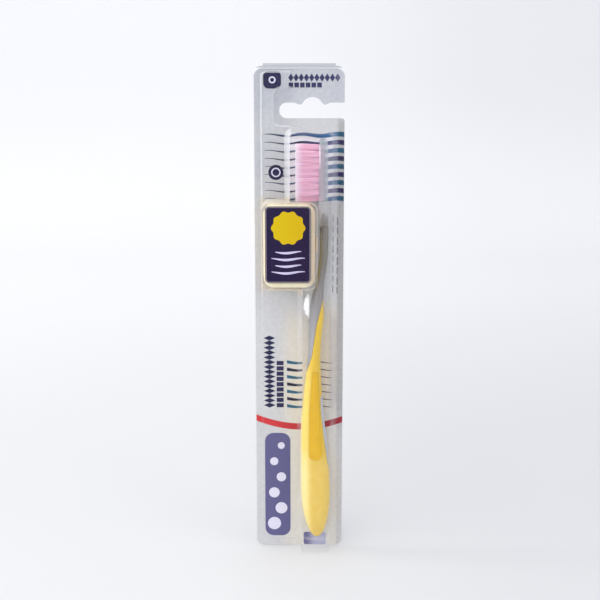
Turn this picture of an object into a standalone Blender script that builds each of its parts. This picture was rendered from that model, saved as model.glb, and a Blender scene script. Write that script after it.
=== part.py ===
"""A manual toothbrush with its travel cap, in a clear folding retail pack.

Frame: +X to the right of the pack seen from the front, -Y towards the viewer, +Z up.
The origin is on the floor, in the middle of the pack's footprint. The brush stands on its
side in the pack: the bristles point to -X, so the brush's own width runs along Y.
"""

import math

import bmesh
import bpy
from mathutils import Matrix, Vector

MM = 0.001

# Sheets of the pack
SHEET = 0.45 * MM               # clear plastic of the front blister and the back cover
FILM = 0.25 * MM                # printed film between them
GAP = 0.3 * MM                  # clearance between pieces that touch
OVERRUN = 2.0 * MM              # how far a cutter passes the wall that it cuts

# Pack outline, seen from the front
PACK_WIDTH = 42.0 * MM
PACK_HEIGHT = 232.6 * MM
PACK_CORNER = 4.0 * MM
FLANGE_WIDTH = 3.0 * MM         # flat rim outside the raised field
FOOT_RIM = 3.6 * MM             # flat rim below the raised field
FOLD_LENGTH = 33.0 * MM         # fold that joins front and back at the top
COVER_LIFT = 0.4 * MM           # the cover and the film end this far above the floor

# Raised field of the front blister, which leaves the hang slot's surround flat
FIELD_DEPTH = 2.0 * MM
FIELD_DRAFT = 0.7 * MM
FIELD_CORNER = 3.0 * MM
TOP_BAND_HEIGHT = 8.4 * MM      # raised band above the hang slot
TOP_BAND_MARGIN = 2.0 * MM      # from the sheet's top edge down to that band
SLOT_SURROUND_HEIGHT = 16.0 * MM
SLOT_SURROUND_LEFT = 6.5 * MM   # width of the raised strip to the left of the surround

# Hang slot, open to the pack's right edge
SLOT_HEIGHT = 7.0 * MM
SLOT_DIP = 5.6 * MM             # height at the two dips beside the dome
SLOT_DOME_HEIGHT = 9.5 * MM
SLOT_DOME_WIDTH = 10.6 * MM
SLOT_LOBE = 7.0 * MM            # from a dip outwards to the flat top of a lobe's end
SLOT_MARGIN = 2.4 * MM          # flat sheet left of the slot
SLOT_SILL = 2.9 * MM            # flat sheet below the slot
SLOT_CORNER = 3.3 * MM
SLOT_MOUTH = 2.0 * MM           # rounding of the sheet below the slot's open end
DIP_RADIUS = 0.8 * MM

# Brush, measured along its length from the end of the handle
HANDLE_LENGTH = 117.0 * MM
NECK_LENGTH = 40.0 * MM
HEAD_LENGTH = 34.0 * MM
HANDLE_THICKNESS = 14.0 * MM    # in the plane of the pack
HANDLE_WIDTH = 11.6 * MM        # square to it
HANDLE_END_LENGTH = 26.0 * MM   # rounded end, seen from the side
HANDLE_END_DEPTH = 13.0 * MM    # rounded end, seen along the pack
NECK_THICKNESS = 3.9 * MM
NECK_WIDTH = 4.6 * MM
HEAD_THICKNESS = 4.2 * MM
HEAD_WIDTH = 11.0 * MM
HEAD_FLARE = 9.0 * MM           # length in which the neck widens to the head
HEAD_TIP = 5.5 * MM             # rounded tip of the head
END_FLAT = 0.25 * MM            # the rounded end starts on a small flat this far up
BRUSH_LIFT = 8.0 * MM           # the handle's end above the floor
BRUSH_MARGIN = 13.4 * MM        # the handle's middle from the pack's right edge
HEAD_OFFSET = 3.4 * MM          # the head's middle, right of the handle's middle

# Grip parts on the handle's hard core
GRIP_WALL = 1.8 * MM
PAD_WALL = 1.0 * MM
LAND_HEIGHT = 4.0 * MM          # post that carries the core's show face at the back
LAND_WIDTH = 3.0 * MM
INLAY_THICKNESS = 1.1 * MM      # soft strip along the neck's bristle side
TONGUE_LENGTH = 6.0 * MM        # the core's peg in the clear head
TONGUE_THICKNESS = 2.0 * MM
TONGUE_WIDTH = 2.8 * MM

# Bristles
BRISTLE_LENGTH = 10.8 * MM
BRISTLE_TIP_SHARE = 0.45        # a strand's tip radius over its root radius
STRAND_RADIUS = 0.19 * MM
STRAND_SPACING = 0.62 * MM      # from a tuft's middle strand to the strands round it
STRANDS_ROUND = 9
TUFT_COLUMNS = 9
TUFT_ROWS = 4
TUFT_PITCH_ALONG = 2.85 * MM
TUFT_PITCH_ACROSS = 2.3 * MM
TUFT_TURN = math.radians(17)    # from one tuft's ring of strands to the next one's
TUFT_SETBACK = 3.1 * MM         # from the head's tip to the first strands
SLICE_THICKNESS = 1.0 * MM      # slice of the head that carries the strands
SLICE_MARGIN = 0.35 * MM        # slice beyond the outermost strands
SLICE_CORNER = 2.4 * MM

# Travel cap, lying beside the neck
CAP_LEFT_MARGIN = 4.85 * MM     # the cap's left side from the pack's left edge
CAP_HEIGHT = 38.3 * MM
CAP_THICKNESS = 14.35 * MM
CAP_WALL = 1.2 * MM
CAP_CORNER = 4.5 * MM
CAP_EDGE = 2.6 * MM             # rounding of the front and back edges
CAP_LID_THICKNESS = 5.2 * MM
CAP_BEAD_RADIUS = 0.45 * MM     # bead that the lid folds about
CAP_BEAD_LENGTH = 30.0 * MM
CAP_BESIDE_NECK = 1.7 * MM      # the cap's right side from the neck
CAP_ABOVE_NECK = 6.65 * MM      # the cap's bottom above the neck's lower end
CAP_BACK_CLEARANCE = 0.7 * MM   # the cap's back from the back of the flange
CAP_FRONT_CLEARANCE = 0.7 * MM
NECK_HOLE = 6.4 * MM
NECK_HOLE_MARGIN = 2.0 * MM     # between the hole and the cap's right side
VENT_WIDTH = 1.4 * MM
VENT_LENGTH = 6.0 * MM
VENT_PITCH = 3.4 * MM
VENT_COUNT = 3
TAB_WIDTH = 7.0 * MM
TAB_THICKNESS = 0.8 * MM
TAB_REACH = 2.4 * MM            # how far the lid's tab laps over the base

# Bays of the front blister that hold the brush and the cap
BRUSH_BAY_DRAFT = 2.5 * MM
BRUSH_BAY_EDGE = 1.2 * MM
BRUSH_BAY_FRONT_CLEARANCE = 0.75 * MM
BAY_CLEARANCE_RIGHT = 1.3 * MM
BAY_CLEARANCE_LEFT = 0.55 * MM
BAY_CLEARANCE_TOP = 3.4 * MM
BAY_CLEARANCE_TIPS = 3.7 * MM
BAY_CLEARANCE_END = 0.35 * MM
BAY_CORNER = 4.5 * MM
BAY_END_CORNER = 6.4 * MM
CAP_BAY_DRAFT = 0.6 * MM
CAP_BAY_EDGE = 1.1 * MM
CAP_BAY_CLEARANCE = 1.15 * MM
CAP_BAY_CLEARANCE_LEFT = 1.25 * MM     # room for the bead
CAP_BAY_CORNER = 4.4 * MM
FOOT_DEPTH = 8.5 * MM
FOOT_WIDTH = 14.4 * MM
FOOT_HEIGHT = 10.0 * MM
FOOT_DRAFT = 0.8 * MM
FOOT_EDGE = 1.4 * MM
FOOT_CORNER = 2.4 * MM

# Label on the flat front of the cap's bay: its margins from the bay's outline, and its corners
LABEL_MARGIN_LEFT = 2.3 * MM
LABEL_MARGIN_RIGHT = 3.6 * MM
LABEL_MARGIN_TOP = 2.1 * MM
LABEL_MARGIN_BOTTOM = 4.3 * MM
LABEL_CORNER = 2.0 * MM
LABEL_THICKNESS = 0.15 * MM

# Fineness of round shapes
ARC_STEPS = 5
RING_POINTS = 16
BEAD_SIDES = 12
EDGE_STEPS = 3
SMOOTH_ANGLE = math.radians(35)

# Colours: base colour, roughness, metallic, alpha
CLEAR_PLASTIC = ((0.86, 0.88, 0.90), 0.08, 0.0, 0.30)
PRINT_FILM = ((0.80, 0.82, 0.85), 0.25, 0.0, 0.55)
LABEL_NAVY = ((0.035, 0.025, 0.12), 0.30, 0.0, 1.0)
SILVER_CORE = ((0.42, 0.42, 0.45), 0.35, 0.0, 1.0)
CLEAR_HEAD = ((0.55, 0.58, 0.62), 0.15, 0.0, 0.75)
YELLOW_GRIP = ((0.85, 0.62, 0.10), 0.40, 0.0, 1.0)
GOLDEN_PAD = ((0.78, 0.48, 0.03), 0.55, 0.0, 1.0)
PINK_BRISTLE = ((0.88, 0.42, 0.60), 0.45, 0.0, 1.0)
CREAM_CAP = ((0.86, 0.78, 0.55), 0.35, 0.0, 1.0)

# The pack's depths. The flange's back lies at FLANGE_Y, so that the box's middle is at Y = 0.
CAP_FRONT_DEPTH = CAP_BACK_CLEARANCE + CAP_THICKNESS
CAP_BAY_DEPTH = CAP_FRONT_DEPTH + CAP_FRONT_CLEARANCE + SHEET
DEPTH_IN_FRONT = CAP_BAY_DEPTH + GAP + LABEL_THICKNESS
DEPTH_BEHIND = GAP + FILM + GAP + SHEET
FLANGE_Y = (DEPTH_IN_FRONT - DEPTH_BEHIND) / 2

# Fold at the top, and the sheets' top edges
FOLD_RADIUS = (SHEET + DEPTH_BEHIND) / 2
FOLD_Y = FLANGE_Y + (DEPTH_BEHIND - SHEET) / 2
FOLD_Z = PACK_HEIGHT - FOLD_RADIUS
SHEET_TOP = FOLD_Z - FOLD_RADIUS / 4
COVER_TOP = FOLD_Z - FOLD_RADIUS - GAP

# The brush's place
BRUSH_OFFSET = PACK_WIDTH / 2 - BRUSH_MARGIN
BRUSH_DEPTH = max(HANDLE_WIDTH, HEAD_WIDTH) / 2 + CAP_BACK_CLEARANCE
BRUSH_Y = FLANGE_Y - BRUSH_DEPTH
BRUSH_BAY_DEPTH = BRUSH_DEPTH + max(HANDLE_WIDTH, HEAD_WIDTH) / 2 + BRUSH_BAY_FRONT_CLEARANCE + SHEET
NECK_Z = BRUSH_LIFT + HANDLE_LENGTH
HEAD_Z = NECK_Z + NECK_LENGTH
HEAD_TOP = HEAD_Z + HEAD_LENGTH
HEAD_X = BRUSH_OFFSET + HEAD_OFFSET
HEAD_FACE_X = HEAD_X - HEAD_THICKNESS / 2
TONGUE_Z = HEAD_Z - TONGUE_LENGTH

# The cap's place
CAP_RIGHT = BRUSH_OFFSET + HEAD_OFFSET - NECK_THICKNESS / 2 - CAP_BESIDE_NECK
CAP_LEFT = CAP_LEFT_MARGIN - PACK_WIDTH / 2
CAP_BOTTOM = NECK_Z + CAP_ABOVE_NECK
CAP_TOP = CAP_BOTTOM + CAP_HEIGHT
CAP_BACK_Y = FLANGE_Y - CAP_BACK_CLEARANCE
CAP_SPLIT_Y = CAP_BACK_Y - CAP_LID_THICKNESS

# Handle stations: height, bow to the right, thickness and width, as shares of the handle's
# length, thickness, thickness and width. The rounded end takes the first of them down to a tip.
HANDLE_STATION_SHARES = (
    (0.00, 0.060, 1.000, 1.00),
    (0.22, 0.000, 1.000, 1.00),
    (0.34, -0.029, 0.943, 0.99),
    (0.48, -0.079, 0.814, 0.95),
    (0.62, -0.086, 0.607, 0.87),
    (0.77, -0.043, 0.421, 0.77),
    (0.86, -0.014, 0.450, 0.74),
    (0.93, 0.025, 0.500, 0.68),
    (1.00, 0.055, 0.393, 0.55),
)
# Neck stations: height, bow to the right, thickness and width, as shares of the neck's length,
# the head's offset, and the neck's thickness and width.
NECK_STATION_SHARES = (
    (0.22, 0.60, 1.03, 1.05),
    (0.46, 1.02, 0.97, 1.00),
    (0.74, 1.14, 1.00, 1.00),
    (1.00, 1.03, 1.05, 1.12),
)
BODY_RINGS = 24
END_STEPS = 6
HEAD_STEPS = 5
INLAY_STEPS = 8
NECK_SQUARENESS = 2.2
HEAD_SQUARENESS = 6.0
HEAD_TIP_TURN = math.radians(84)
HEAD_TIP_WIDTH_SHARE = 0.35     # width of the tip's flat end over the head's width
# Tongue stations: height and thickness, as shares of the tongue's length and thickness.
TONGUE_STATION_SHARES = ((0.80, 1.00), (0.95, 0.80), (1.00, 0.40))
# Ends of the neck's strip, as shares of the neck's length from its lower end and from the tongue,
# and the strip's thickness at its ends, as a share of its full thickness.
INLAY_START_SHARE = 0.125
INLAY_STOP_SHARE = 0.0625
INLAY_END_SHARE = 0.45

# Side view of the grip: corner points as shares of the handle's length and thickness, measured
# from the handle's end and middle, each with its rounding as a share of the thickness.
GRIP_SHARES = (
    (-0.90, -0.10, 0.00),
    (0.90, -0.10, 0.00),
    (0.90, 0.29, 0.00),
    (0.46, 0.29, 0.20),
    (0.30, 0.42, 0.60),
    (0.19, 0.53, 0.60),
    (0.16, 0.61, 0.20),
    (0.90, 0.66, 0.00),
    (0.90, 1.02, 0.00),
    (0.29, 1.02, 0.10),
    (0.03, 0.90, 0.60),
    (-0.13, 0.77, 0.30),
    (-0.34, 0.69, 0.10),
    (-0.90, 0.69, 0.00),
)
WINDOW_MIDDLE_SHARE = 0.475     # height of the middle of the show face
BAR_TOP_SHARE = 0.90            # height to which the core's bar runs inside the grip
# Side view of a pad, in the same shares
PAD_SHARES = (
    (-0.22, 0.345, 0.20),
    (0.24, 0.345, 0.20),
    (0.17, 0.480, 0.60),
    (0.12, 0.600, 0.60),
    (0.08, 0.710, 0.06),
    (-0.10, 0.710, 0.06),
    (-0.20, 0.550, 0.60),
)


def clear_scene():
    """Removes every object, mesh and material that the file holds."""
    for item in list(bpy.data.objects):
        bpy.data.objects.remove(item)
    for mesh in list(bpy.data.meshes):
        bpy.data.meshes.remove(mesh)
    for material in list(bpy.data.materials):
        bpy.data.materials.remove(material)


def make_material(name, look):
    """A Principled material of that name from (colour, roughness, metallic, alpha)."""
    colour, roughness, metallic, alpha = look
    material = bpy.data.materials.new(name)
    material.use_nodes = True
    shader = material.node_tree.nodes["Principled BSDF"]
    shader.inputs["Base Color"].default_value = (*colour, 1.0)
    shader.inputs["Roughness"].default_value = roughness
    shader.inputs["Metallic"].default_value = metallic
    shader.inputs["Alpha"].default_value = alpha
    material.diffuse_color = (*colour, alpha)
    return material


def make_object(name, bm):
    """A named object from a bmesh, with its faces pointing out."""
    bmesh.ops.recalc_face_normals(bm, faces=bm.faces)
    mesh = bpy.data.meshes.new(name)
    bm.to_mesh(mesh)
    bm.free()
    thing = bpy.data.objects.new(name, mesh)
    bpy.context.scene.collection.objects.link(thing)
    return thing


def combine(target, operation, *tools):
    """Joins to, cuts from or intersects with the target each tool in turn, and removes the tools."""
    for tool in tools:
        modifier = target.modifiers.new("boolean", "BOOLEAN")
        modifier.operation = operation
        modifier.solver = "EXACT"
        modifier.object = tool
        depsgraph = bpy.context.evaluated_depsgraph_get()
        result = bpy.data.meshes.new_from_object(target.evaluated_get(depsgraph))
        target.modifiers.clear()
        target.data = result
        bpy.data.objects.remove(tool)
    return target


def finish(thing, look, origin=None):
    """Gives the finished piece its material, smooth shading and origin."""
    thing.data.name = thing.name
    thing.data.materials.clear()
    thing.data.materials.append(make_material(thing.name + "_material", look))
    thing.data.shade_smooth()
    thing.data.set_sharp_from_angle(angle=SMOOTH_ANGLE)
    if origin is not None:
        thing.data.transform(Matrix.Translation(-Vector(origin)))
        thing.location = origin
    return thing


def rounded_outline(corners, inset=0.0):
    """Points round a closed outline in the XZ plane, given anticlockwise as (x, z, radius).

    A positive inset moves every side inwards. Each corner gives the same number of points
    whatever the inset, so outlines of one shape can be lofted.
    """
    count = len(corners)
    points = []
    for index in range(count):
        before = Vector(corners[index - 1][:2])
        here = Vector(corners[index][:2])
        after = Vector(corners[(index + 1) % count][:2])
        arriving = (here - before).normalized()
        leaving = (after - here).normalized()
        turn = arriving.cross(leaving)
        half_angle = math.atan2(turn, arriving.dot(leaving)) / 2
        inwards = (Vector((-arriving.y, arriving.x)) + Vector((-leaving.y, leaving.x))).normalized()
        corner = here + inwards * inset / math.cos(half_angle)
        side = 1 if turn > 0 else -1
        radius = corners[index][2]
        if radius > 0:
            radius = max(radius - side * inset, 0.0)
        if radius <= 0:
            points.extend([corner] * (ARC_STEPS + 1) if corners[index][2] > 0 else [corner])
            continue
        centre = corner + inwards * side * radius / math.cos(half_angle)
        start = corner - arriving * radius * abs(math.tan(half_angle))
        spoke = start - centre
        for step in range(ARC_STEPS + 1):
            angle = 2 * half_angle * step / ARC_STEPS
            turned = Vector(
                (
                    spoke.x * math.cos(angle) - spoke.y * math.sin(angle),
                    spoke.x * math.sin(angle) + spoke.y * math.cos(angle),
                )
            )
            points.append(centre + turned)
    return points


def rectangle(left, right, bottom, top, radius):
    """Corners of a rounded rectangle, for rounded_outline."""
    return (
        (left, bottom, radius),
        (right, bottom, radius),
        (right, top, radius),
        (left, top, radius),
    )


def loft(name, rings):
    """A closed solid through rings of equally many points, with a flat cap at each end."""
    bm = bmesh.new()
    rows = [[bm.verts.new(point) for point in ring] for ring in rings]
    count = len(rings[0])
    for lower, upper in zip(rows, rows[1:]):
        for index in range(count):
            following = (index + 1) % count
            bm.faces.new((lower[index], lower[following], upper[following], upper[index]))
    bm.faces.new(list(reversed(rows[0])))
    bm.faces.new(rows[-1])
    return make_object(name, bm)


def prism(name, corners, levels):
    """A solid of one outline, through levels given as (y, inset of the outline)."""
    rings = [[(p.x, y, p.y) for p in rounded_outline(corners, inset)] for y, inset in levels]
    return loft(name, rings)


def plate(name, corners, front, back, inset=0.0):
    """A flat piece of one outline between two depths."""
    return prism(name, corners, ((front, inset), (back, inset)))


def block(name, low, high):
    """A plain box between two corners."""
    bm = bmesh.new()
    bmesh.ops.create_cube(bm, size=1)
    for vertex in bm.verts:
        for axis in range(3):
            vertex.co[axis] = low[axis] if vertex.co[axis] < 0 else high[axis]
    return make_object(name, bm)


def rod(name, start, end, radius, sides=BEAD_SIDES):
    """A round bar between two points."""
    direction = Vector(end) - Vector(start)
    turn = direction.to_track_quat("Z", "Y").to_matrix().to_4x4()
    bm = bmesh.new()
    bmesh.ops.create_cone(
        bm,
        cap_ends=True,
        segments=sides,
        radius1=radius,
        radius2=radius,
        depth=direction.length,
        matrix=Matrix.Translation((Vector(start) + Vector(end)) / 2) @ turn,
    )
    return make_object(name, bm)


def sheet_corners():
    """Outline of the whole pack."""
    return rectangle(-PACK_WIDTH / 2, PACK_WIDTH / 2, 0.0, SHEET_TOP, PACK_CORNER)


def surround_place():
    """Left, bottom and top of the flat field around the hang slot."""
    left = FLANGE_WIDTH + SLOT_SURROUND_LEFT - PACK_WIDTH / 2
    top = SHEET_TOP - TOP_BAND_MARGIN - TOP_BAND_HEIGHT
    return left, top - SLOT_SURROUND_HEIGHT, top


def field_corners():
    """Outline of the raised field, which goes round the hang slot's flat surround."""
    side = PACK_WIDTH / 2 - FLANGE_WIDTH
    left, bottom, top = surround_place()
    band_top = SHEET_TOP - TOP_BAND_MARGIN
    return (
        (-side, FOOT_RIM, FIELD_CORNER),
        (side, FOOT_RIM, FIELD_CORNER),
        (side, bottom, FIELD_CORNER),
        (left, bottom, FIELD_CORNER),
        (left, top, FIELD_CORNER),
        (side, top, FIELD_CORNER),
        (side, band_top, FIELD_CORNER),
        (-side, band_top, FIELD_CORNER),
    )


def slot_corners():
    """Outline of the hang slot, run past the pack's right edge where it is open."""
    left, bottom, _ = surround_place()
    start = left + SLOT_MARGIN
    sill = bottom + SLOT_SILL
    middle = start + SLOT_LOBE + SLOT_DIP / 2 + SLOT_DOME_WIDTH / 2
    dome = SLOT_DOME_WIDTH / 2
    rise = dome / 2
    mouth = PACK_WIDTH / 2 + SHEET / 4
    end = PACK_WIDTH / 2 + OVERRUN
    return (
        (start, sill, SLOT_CORNER),
        (mouth, sill, SLOT_MOUTH),
        (mouth, sill - SLOT_MOUTH - SHEET, 0.0),
        (end, sill - SLOT_MOUTH - SHEET, 0.0),
        (end, sill + SLOT_HEIGHT, 0.0),
        (middle + dome + rise, sill + SLOT_HEIGHT, SLOT_CORNER / 2),
        (middle + dome, sill + SLOT_DIP, DIP_RADIUS),
        (middle + rise, sill + SLOT_DOME_HEIGHT, SLOT_CORNER / 2),
        (middle - rise, sill + SLOT_DOME_HEIGHT, SLOT_CORNER / 2),
        (middle - dome, sill + SLOT_DIP, DIP_RADIUS),
        (middle - dome - rise, sill + SLOT_HEIGHT, SLOT_CORNER / 2),
        (start, sill + SLOT_HEIGHT, SLOT_CORNER),
    )


def slot_cutter():
    """Cutter of the hang slot, through all the sheets."""
    return plate(
        "slot_cutter",
        slot_corners(),
        FLANGE_Y - FIELD_DEPTH - OVERRUN,
        FLANGE_Y + DEPTH_BEHIND + OVERRUN,
    )


def brush_bay_corners():
    """Base outline of the brush's bay: wide beside the bristles, narrow beside the handle."""
    slope = BRUSH_BAY_DRAFT / 2 + SHEET
    right = BRUSH_OFFSET + HANDLE_THICKNESS / 2 + BAY_CLEARANCE_RIGHT + slope
    handle_left = BRUSH_OFFSET - HANDLE_THICKNESS / 2 - BAY_CLEARANCE_LEFT - slope
    tips_left = HEAD_FACE_X - BRISTLE_LENGTH - BAY_CLEARANCE_TIPS - slope
    step = (CAP_BOTTOM + CAP_TOP) / 2
    return (
        (handle_left, BRUSH_LIFT - BAY_CLEARANCE_END - slope, BAY_END_CORNER),
        (right, BRUSH_LIFT - BAY_CLEARANCE_END - slope, BAY_END_CORNER),
        (right, HEAD_TOP + BAY_CLEARANCE_TOP + slope, BAY_CORNER),
        (tips_left, HEAD_TOP + BAY_CLEARANCE_TOP + slope, BAY_CORNER),
        (tips_left, step, BAY_CORNER),
        (handle_left, step, BAY_CORNER),
    )


def cap_bay_corners():
    """Base outline of the cap's bay."""
    left = CAP_LEFT - CAP_BAY_CLEARANCE_LEFT - SHEET
    grow = CAP_BAY_CLEARANCE + SHEET
    return rectangle(left, CAP_RIGHT + grow, CAP_BOTTOM - grow, CAP_TOP + grow, CAP_BAY_CORNER)


def label_corners():
    """Outline of the label."""
    (left, bottom, _), _, (right, top, _), _ = cap_bay_corners()
    return rectangle(
        left + LABEL_MARGIN_LEFT,
        right - LABEL_MARGIN_RIGHT,
        bottom + LABEL_MARGIN_BOTTOM,
        top - LABEL_MARGIN_TOP,
        LABEL_CORNER,
    )


def foot_solid(wall, back):
    """The foot under the brush's bay, drafted at its sides and cut flat at the floor."""
    left = BRUSH_OFFSET - FOOT_WIDTH / 2
    right = BRUSH_OFFSET + FOOT_WIDTH / 2
    corners = rectangle(left, right, -FOOT_HEIGHT, FOOT_HEIGHT, FOOT_CORNER)
    levels = bay_levels(FOOT_DEPTH, FOOT_DRAFT, FOOT_EDGE, wall, back)
    low = (left - OVERRUN, FLANGE_Y - FOOT_DEPTH - OVERRUN, wall)
    high = (right + OVERRUN, FLANGE_Y + back + OVERRUN, FOOT_HEIGHT + OVERRUN)
    return combine(prism("foot", corners, levels), "INTERSECT", block("foot_room", low, high))


def bay_levels(depth, draft, edge, wall, back):
    """Levels of a bay's solid: its drafted sides, its rounded front edge and its flat front.

    The wall is 0 for the outer skin, and the sheet's thickness for the hollow inside it.
    """
    rounding = max(edge - wall, edge / 4)
    straight = depth - wall - rounding
    levels = [(FLANGE_Y + back, wall)]
    levels.append((FLANGE_Y - straight, wall + draft))
    for step in range(1, EDGE_STEPS + 1):
        angle = math.pi / 2 * step / EDGE_STEPS
        levels.append(
            (
                FLANGE_Y - straight - rounding * math.sin(angle),
                wall + draft + rounding * (1 - math.cos(angle)),
            )
        )
    return levels


def blister_solid(wall, back):
    """The raised shapes of the front blister as one solid, shrunk by a wall, from a back plane."""
    field = bay_levels(FIELD_DEPTH, FIELD_DRAFT, SHEET, wall, back)
    brush = bay_levels(BRUSH_BAY_DEPTH, BRUSH_BAY_DRAFT, BRUSH_BAY_EDGE, wall, back)
    cap = bay_levels(CAP_BAY_DEPTH, CAP_BAY_DRAFT, CAP_BAY_EDGE, wall, back)
    solid = prism("blister_solid", field_corners(), field)
    combine(
        solid,
        "UNION",
        prism("brush_bay", brush_bay_corners(), brush),
        prism("cap_bay", cap_bay_corners(), cap),
        foot_solid(wall, back),
    )
    return solid


def make_front_blister():
    """Thermoformed front: flange, raised field, the two bays, the foot, the fold and the slot."""
    blister = plate("front_blister", sheet_corners(), FLANGE_Y, FLANGE_Y - SHEET)
    combine(blister, "UNION", blister_solid(0.0, -SHEET / 3))
    combine(blister, "DIFFERENCE", blister_solid(SHEET, OVERRUN))
    fold = rod(
        "fold", (-FOLD_LENGTH / 2, FOLD_Y, FOLD_Z), (FOLD_LENGTH / 2, FOLD_Y, FOLD_Z), FOLD_RADIUS
    )
    combine(blister, "UNION", fold)
    combine(blister, "DIFFERENCE", slot_cutter())
    return finish(blister, CLEAR_PLASTIC)


def make_back_cover():
    """Flat back sheet that swings up about the fold."""
    corners = rectangle(-PACK_WIDTH / 2, PACK_WIDTH / 2, COVER_LIFT, COVER_TOP, PACK_CORNER)
    cover = plate("back_cover", corners, FLANGE_Y + DEPTH_BEHIND - SHEET, FLANGE_Y + DEPTH_BEHIND)
    combine(cover, "DIFFERENCE", slot_cutter())
    return finish(cover, CLEAR_PLASTIC, (0.0, FOLD_Y, FOLD_Z))


def make_printed_film():
    """Printed clear film that lies on the inside of the cover."""
    corners = rectangle(-PACK_WIDTH / 2, PACK_WIDTH / 2, COVER_LIFT, COVER_TOP, PACK_CORNER)
    film = plate("printed_film", corners, FLANGE_Y + GAP, FLANGE_Y + GAP + FILM, GAP)
    combine(film, "DIFFERENCE", slot_cutter())
    return finish(film, PRINT_FILM, (0.0, FOLD_Y, FOLD_Z))


def make_front_label():
    """Label stuck on the flat front of the cap's bay."""
    face = FLANGE_Y - CAP_BAY_DEPTH - GAP
    label = plate("front_label", label_corners(), face - LABEL_THICKNESS, face)
    return finish(label, LABEL_NAVY)


def smooth_between(rows, height):
    """Values at a height, on a smooth curve through rows of (height, value, value, ...)."""
    last = len(rows) - 1
    upper = next((i for i, row in enumerate(rows) if row[0] >= height), last)
    upper = max(upper, 1)
    lower = upper - 1
    span = rows[upper][0] - rows[lower][0]
    share = (height - rows[lower][0]) / span
    values = []
    for column in range(1, len(rows[0])):
        slopes = []
        for index in (lower, upper):
            first = max(index - 1, 0)
            second = min(index + 1, last)
            rise = rows[second][column] - rows[first][column]
            slopes.append(rise / (rows[second][0] - rows[first][0]) * span)
        start = rows[lower][column]
        end = rows[upper][column]
        values.append(
            start * (1 + 2 * share) * (1 - share) ** 2
            + slopes[0] * share * (1 - share) ** 2
            + end * share**2 * (3 - 2 * share)
            + slopes[1] * share**2 * (share - 1)
        )
    return values


def body_rows():
    """Stations of the handle and the neck: height, middle, thickness and width."""
    rows = []
    for height, bow, thickness, width in HANDLE_STATION_SHARES:
        rows.append(
            (
                BRUSH_LIFT + height * HANDLE_LENGTH,
                BRUSH_OFFSET + bow * HANDLE_THICKNESS,
                thickness * HANDLE_THICKNESS,
                width * HANDLE_WIDTH,
            )
        )
    for height, bow, thickness, width in NECK_STATION_SHARES:
        rows.append(
            (
                NECK_Z + height * NECK_LENGTH,
                BRUSH_OFFSET + bow * HEAD_OFFSET,
                thickness * NECK_THICKNESS,
                width * NECK_WIDTH,
            )
        )
    return rows


def ring(middle, height, half_thickness, half_width, squareness):
    """One level of the brush: a superellipse in the XY plane."""
    points = []
    for step in range(RING_POINTS):
        angle = 2 * math.pi * (step + 0.5) / RING_POINTS
        cosine = math.cos(angle)
        sine = math.sin(angle)
        points.append(
            (
                middle + half_thickness * math.copysign(abs(cosine) ** (2 / squareness), cosine),
                BRUSH_Y + half_width * math.copysign(abs(sine) ** (2 / squareness), sine),
                height,
            )
        )
    return points


def end_factor(rise, length):
    """Share of the full section at a rise above a rounded end of that length."""
    if rise >= length:
        return 1.0
    return math.sqrt(max(1 - (1 - rise / length) ** 2, 0.0))


def body_heights(bottom, top):
    """Heights of the body's rings, closer together at the rounded end."""
    rises = [
        HANDLE_END_LENGTH * (1 - math.cos(math.pi / 2 * (step + 0.5) / END_STEPS))
        for step in range(END_STEPS)
    ]
    heights = [BRUSH_LIFT + rise for rise in rises]
    start = BRUSH_LIFT + HANDLE_END_LENGTH
    heights += [start + (TONGUE_Z - start) * step / BODY_RINGS for step in range(BODY_RINGS + 1)]
    inside = [height for height in heights if bottom + END_FLAT < height < top - END_FLAT]
    return [bottom, *inside, top]


def body_loft(name, inset, bottom, top):
    """The handle and neck between two heights, shrunk all round by an inset."""
    rows = body_rows()
    rings = []
    for height in body_heights(bottom, top):
        middle, thickness, width = smooth_between(rows, height)
        rise = height - BRUSH_LIFT
        half_thickness = thickness / 2 * end_factor(rise, HANDLE_END_LENGTH) - inset
        half_width = width / 2 * end_factor(rise, HANDLE_END_DEPTH) - inset
        rings.append(ring(middle, height, half_thickness, half_width, NECK_SQUARENESS))
    return loft(name, rings)


def shares_outline(rows):
    """Corners for rounded_outline, from shares of the handle's thickness and length."""
    return tuple(
        (
            BRUSH_OFFSET + across * HANDLE_THICKNESS,
            BRUSH_LIFT + along * HANDLE_LENGTH,
            rounding * HANDLE_THICKNESS,
        )
        for across, along, rounding in rows
    )


def brush_prism(name, rows, inset, front, back):
    """Prism of a side-view outline through the brush, between two offsets from its middle."""
    return plate(name, shares_outline(rows), BRUSH_Y + front, BRUSH_Y + back, inset)


def core_inside(name, inset):
    """The hard core inside the grip, shrunk from the body by an inset."""
    bottom = BRUSH_LIFT + GRIP_WALL + inset
    return body_loft(name, inset, bottom, BRUSH_LIFT + BAR_TOP_SHARE * HANDLE_LENGTH - inset)


def window_land(name, grow):
    """Post from the core's bar out to the show face at the back, grown all round by an amount."""
    height = BRUSH_LIFT + WINDOW_MIDDLE_SHARE * HANDLE_LENGTH
    middle, thickness, _ = smooth_between(body_rows(), height)
    surface = middle + thickness / 2
    half_width = LAND_WIDTH / 2 + grow
    half_height = LAND_HEIGHT / 2 + grow
    return block(
        name,
        (surface - 2 * GRIP_WALL, BRUSH_Y - half_width, height - half_height),
        (surface - 2 * GAP, BRUSH_Y + half_width, height + half_height),
    )


def full_body(name):
    """The whole outside of the handle and neck."""
    return body_loft(name, 0.0, BRUSH_LIFT + END_FLAT, TONGUE_Z)


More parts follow.
